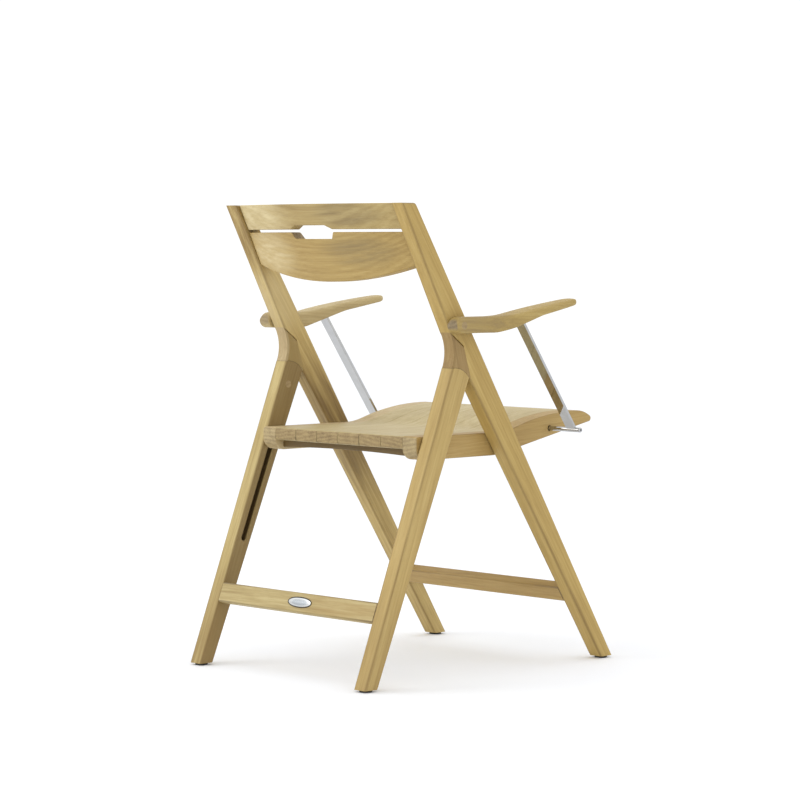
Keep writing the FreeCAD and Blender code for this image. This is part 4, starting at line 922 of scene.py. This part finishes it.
def pairTree():
    tree = bpy.data.node_groups.new("mirroredPair", "GeometryNodeTree")
    tree.interface.new_socket("Geometry", in_out="INPUT", socket_type="NodeSocketGeometry")
    for name, kind in (("Half Span", "Float"), ("Place Y", "Float"), ("Finish", "Material")):
        tree.interface.new_socket(name, in_out="INPUT", socket_type="NodeSocket" + kind)
    tree.interface.new_socket("Geometry", in_out="OUTPUT", socket_type="NodeSocketGeometry")
    entry = tree.nodes.new("NodeGroupInput")
    width = addMath(tree, "MULTIPLY", entry.outputs["Half Span"], 2.0)
    start = addNode(tree, "ShaderNodeCombineXYZ", {
        0: addMath(tree, "MULTIPLY", entry.outputs["Half Span"], -1.0), 1: entry.outputs["Place Y"]})
    stride = addNode(tree, "ShaderNodeCombineXYZ", {0: width})
    points = addNode(tree, "GeometryNodeMeshLine", {
        "Count": 2, "Start Location": start.outputs[0], "Offset": stride.outputs[0]})
    copies = addNode(tree, "GeometryNodeInstanceOnPoints", {
        "Points": points.outputs[0], "Instance": entry.outputs["Geometry"]})
    real = addNode(tree, "GeometryNodeRealizeInstances", {"Geometry": copies.outputs[0]})
    coated = addNode(tree, "GeometryNodeSetMaterial", {
        "Geometry": real.outputs[0], "Material": entry.outputs["Finish"]})
    leave = tree.nodes.new("NodeGroupOutput")
    tree.links.new(coated.outputs[0], leave.inputs[0])
    return tree


pairs = pairTree()
for name, node, body in (
    ("frontGlides", "front_glides", "back_frame"), ("rearGlides", "rear_glides", "rear_legs"),
):
    low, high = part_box(node)
    holder = helperObject("glideHolder", turnedMesh("oneGlide", glideProfile(), (0, 0, 0), "Z"))
    double = holder.modifiers.new("pair", "NODES")
    double.node_group = pairs
    setInputs(double, HalfSpan=high.x - glide["radius"], PlaceY=(low.y + high.y) / 2,
              Finish=looks["glides"])
    piece = newPiece(name, settledMesh(holder), looks["glides"], body, "black_plastic", node)
    piece.modifiers.new("evenShading", "WEIGHTED_NORMAL").keep_sharp = True

cap = {"start": 0.289, "radius": 0.0046, "wall": 0.0012, "dome": 0.0022, "steps": 8, "round": 32}
for sideName, side in sides:
    profile = [(0, 0), (cap["radius"], 0), (cap["radius"], side * cap["wall"])]
    for number in range(1, cap["steps"] + 1):
        angle = math.radians(90 * number / cap["steps"])
        radius = cap["radius"] * math.cos(angle) if number < cap["steps"] else 0
        profile.append((radius, side * (cap["wall"] + cap["dome"] * math.sin(angle))))
    place = (side * cap["start"], capCentre[1], capCentre[2])
    newPiece(sideName + "RodCap", turnedMesh("rodCap", profile, place, "X", cap["round"]),
             looks["capSteel"], sideName + "_strut_arm", "mirror_steel", sideName + "_rod_cap")
print("turned pieces made")


# Bare oval plate on the rear stretcher: a rim painted dark as the shadow along the plate's edge, around a
# slightly domed face

plate = {
    "long": 0.0644, "tall": 0.0204, "fullness": 2.15, "rim": 0.0018, "dome": 0.0007, "steps": 96,
    "back": -0.0006, "rimHeight": 0.0012, "rimOuter": 0.0004, "rimInner": 0.0003, "overlap": 0.0001,
    "sunk": 0.0003, "domeSteps": 9, "slope": 0.3836,
}


def ovalRing(shape, inset, height):
    ring = []
    for number in range(plate["steps"]):
        angle = 2 * math.pi * number / plate["steps"]
        power = 2 / plate["fullness"]
        along = math.copysign(abs(math.cos(angle)) ** power, math.cos(angle)) * (plate["long"] / 2 - inset)
        up = math.copysign(abs(math.sin(angle)) ** power, math.sin(angle)) * (plate["tall"] / 2 - inset)
        ring.append(shape.verts.new((along, -height, up)))
    return ring


def ovalMesh(name, profile, closed):
    mesh = bpy.data.meshes.new(name)
    shape = bmesh.new()
    rings = [ovalRing(shape, inset, height) for inset, height in profile]
    if closed:
        rings.append(rings[0])
    for before, after in zip(rings, rings[1:]):
        for number in range(plate["steps"]):
            other = (number + 1) % plate["steps"]
            shape.faces.new((before[number], before[other], after[other], after[number]))
    if not closed:
        shape.faces.new(rings[0])
        shape.faces.new(rings[-1])
    lean = Matrix.Rotation(-math.atan(plate["slope"]), 4, "X")
    turned = Matrix.Rotation(math.radians(180), 4, "Z") @ lean
    shape.transform(Matrix.Translation(plateCentre) @ turned)
    bmesh.ops.recalc_face_normals(shape, faces=shape.faces)
    for face in shape.faces:
        face.smooth = True
    shape.to_mesh(mesh)
    shape.free()
    return mesh


back, front = plate["back"], plate["rimHeight"] + plate["back"]
rimProfile = [
    (0, back), (0, front - plate["rimOuter"]), (plate["rimOuter"], front),
    (plate["rim"] - plate["rimInner"], front), (plate["rim"], back),
]
# the rim carries the painted shadow along the plate's edge
newPiece("ovalPlateRim", ovalMesh("ovalPlateRim", rimProfile, True), looks["plateRim"], "rear_legs",
         "plate")
faceEdge = plate["rim"] - plate["overlap"]
faceProfile = [(faceEdge, back)]
for number in range(plate["domeSteps"]):
    share = number / plate["domeSteps"]
    faceProfile.append((faceEdge + share * (plate["tall"] / 2 - plate["rim"]),
                        front - plate["sunk"] + plate["dome"] * math.sin(share * math.pi / 2)))
newPiece("ovalPlateFace", ovalMesh("ovalPlateFace", faceProfile, False), looks["plate"], "rear_legs",
         "plate", "oval_plate")
print("oval plate made")


# Finishes of the CAD nodes that stay as they are

carriedOver = {
    "plainSteel": [
        "seat_pivot_pins", "seat_washers", "arm_bolts", "arm_washers", "hinge_pins", "slide_pins",
        "left_strut_pin", "right_strut_pin"],
    "plugs": ["hinge_plugs", "left_arm_plug", "right_arm_plug"],
}
for look, names in carriedOver.items():
    for name in names:
        mesh = nodes[name].data
        mesh.materials.clear()
        mesh.materials.append(looks[look])


# Studio: white floor, even white surroundings and two large soft lights

studio = {"floor": 24.0, "sky": 1.07, "keyPower": 30.0, "fillPower": 8.0}
floorMaterial, floorTree, floorShader, floorCoords = startMaterial("paleFloor")
floorNoise = addNoise(floorTree, floorCoords.outputs["Object"], (2, 2, 2), 2.0)
floorTree.links.new(addRamp(floorTree, floorNoise, [
    (0.3, toLinear(248, 250, 255)), (0.7, toLinear(250, 252, 255))]), floorShader.inputs["Base Color"])
floorShader.inputs["Roughness"].default_value = 0.9
half = studio["floor"] / 2
floorMesh = bpy.data.meshes.new("floor")
floorCorners = [(-half, -half, 0), (half, -half, 0), (half, half, 0), (-half, half, 0)]
floorMesh.from_pydata(floorCorners, [], [(0, 1, 2, 3)])
floorMesh.materials.append(floorMaterial)
floor = bpy.data.objects.new("floor", floorMesh)
bpy.context.scene.collection.objects.link(floor)

world = bpy.data.worlds.new("studio")
world.use_nodes = True
world.node_tree.nodes["Background"].inputs["Color"].default_value = (1, 1, 1, 1)
world.node_tree.nodes["Background"].inputs["Strength"].default_value = studio["sky"]
bpy.context.scene.world = world


def addLight(name, place, aim, power, width, height):
    lamp = bpy.data.lights.new(name, "AREA")
    lamp.shape = "RECTANGLE"
    lamp.size = width
    lamp.size_y = height
    lamp.energy = power
    light = bpy.data.objects.new(name, lamp)
    light.location = place
    light.rotation_euler = (Vector(aim) - Vector(place)).to_track_quat("-Z", "Y").to_euler()
    bpy.context.scene.collection.objects.link(light)


addLight("keyLight", (2.2, 3.2, 2.4), (0, 0, 0.45), studio["keyPower"], 2.0, 2.0)
addLight("topLight", (0.2, 0.1, 3.2), (0, 0, 0.4), studio["fillPower"], 2.6, 2.6)

cameraFacts = {
    "place": (-3.870, 3.7004, 0.7906), "turn": (0.7236, -0.6902), "pitch": -3.1068, "lens": 126.63,
    "shift": 0.0007, "sensor": 36.0, "farthest": 60,
}
lens = bpy.data.cameras.new("camera")
lens.sensor_width = cameraFacts["sensor"]
lens.lens = cameraFacts["lens"]
lens.shift_x = cameraFacts["shift"]
lens.clip_end = cameraFacts["farthest"]
camera = bpy.data.objects.new("camera", lens)
pitchAngle = math.radians(cameraFacts["pitch"])
level = math.cos(pitchAngle)
turnX, turnY = cameraFacts["turn"]
forward = Vector((turnX * level, turnY * level, math.sin(pitchAngle)))
camera.location = cameraFacts["place"]
camera.rotation_euler = forward.to_track_quat("-Z", "Y").to_euler()
bpy.context.scene.collection.objects.link(camera)
bpy.context.scene.camera = camera
bpy.context.scene.view_settings.view_transform = "Standard"
print("studio and camera ready")
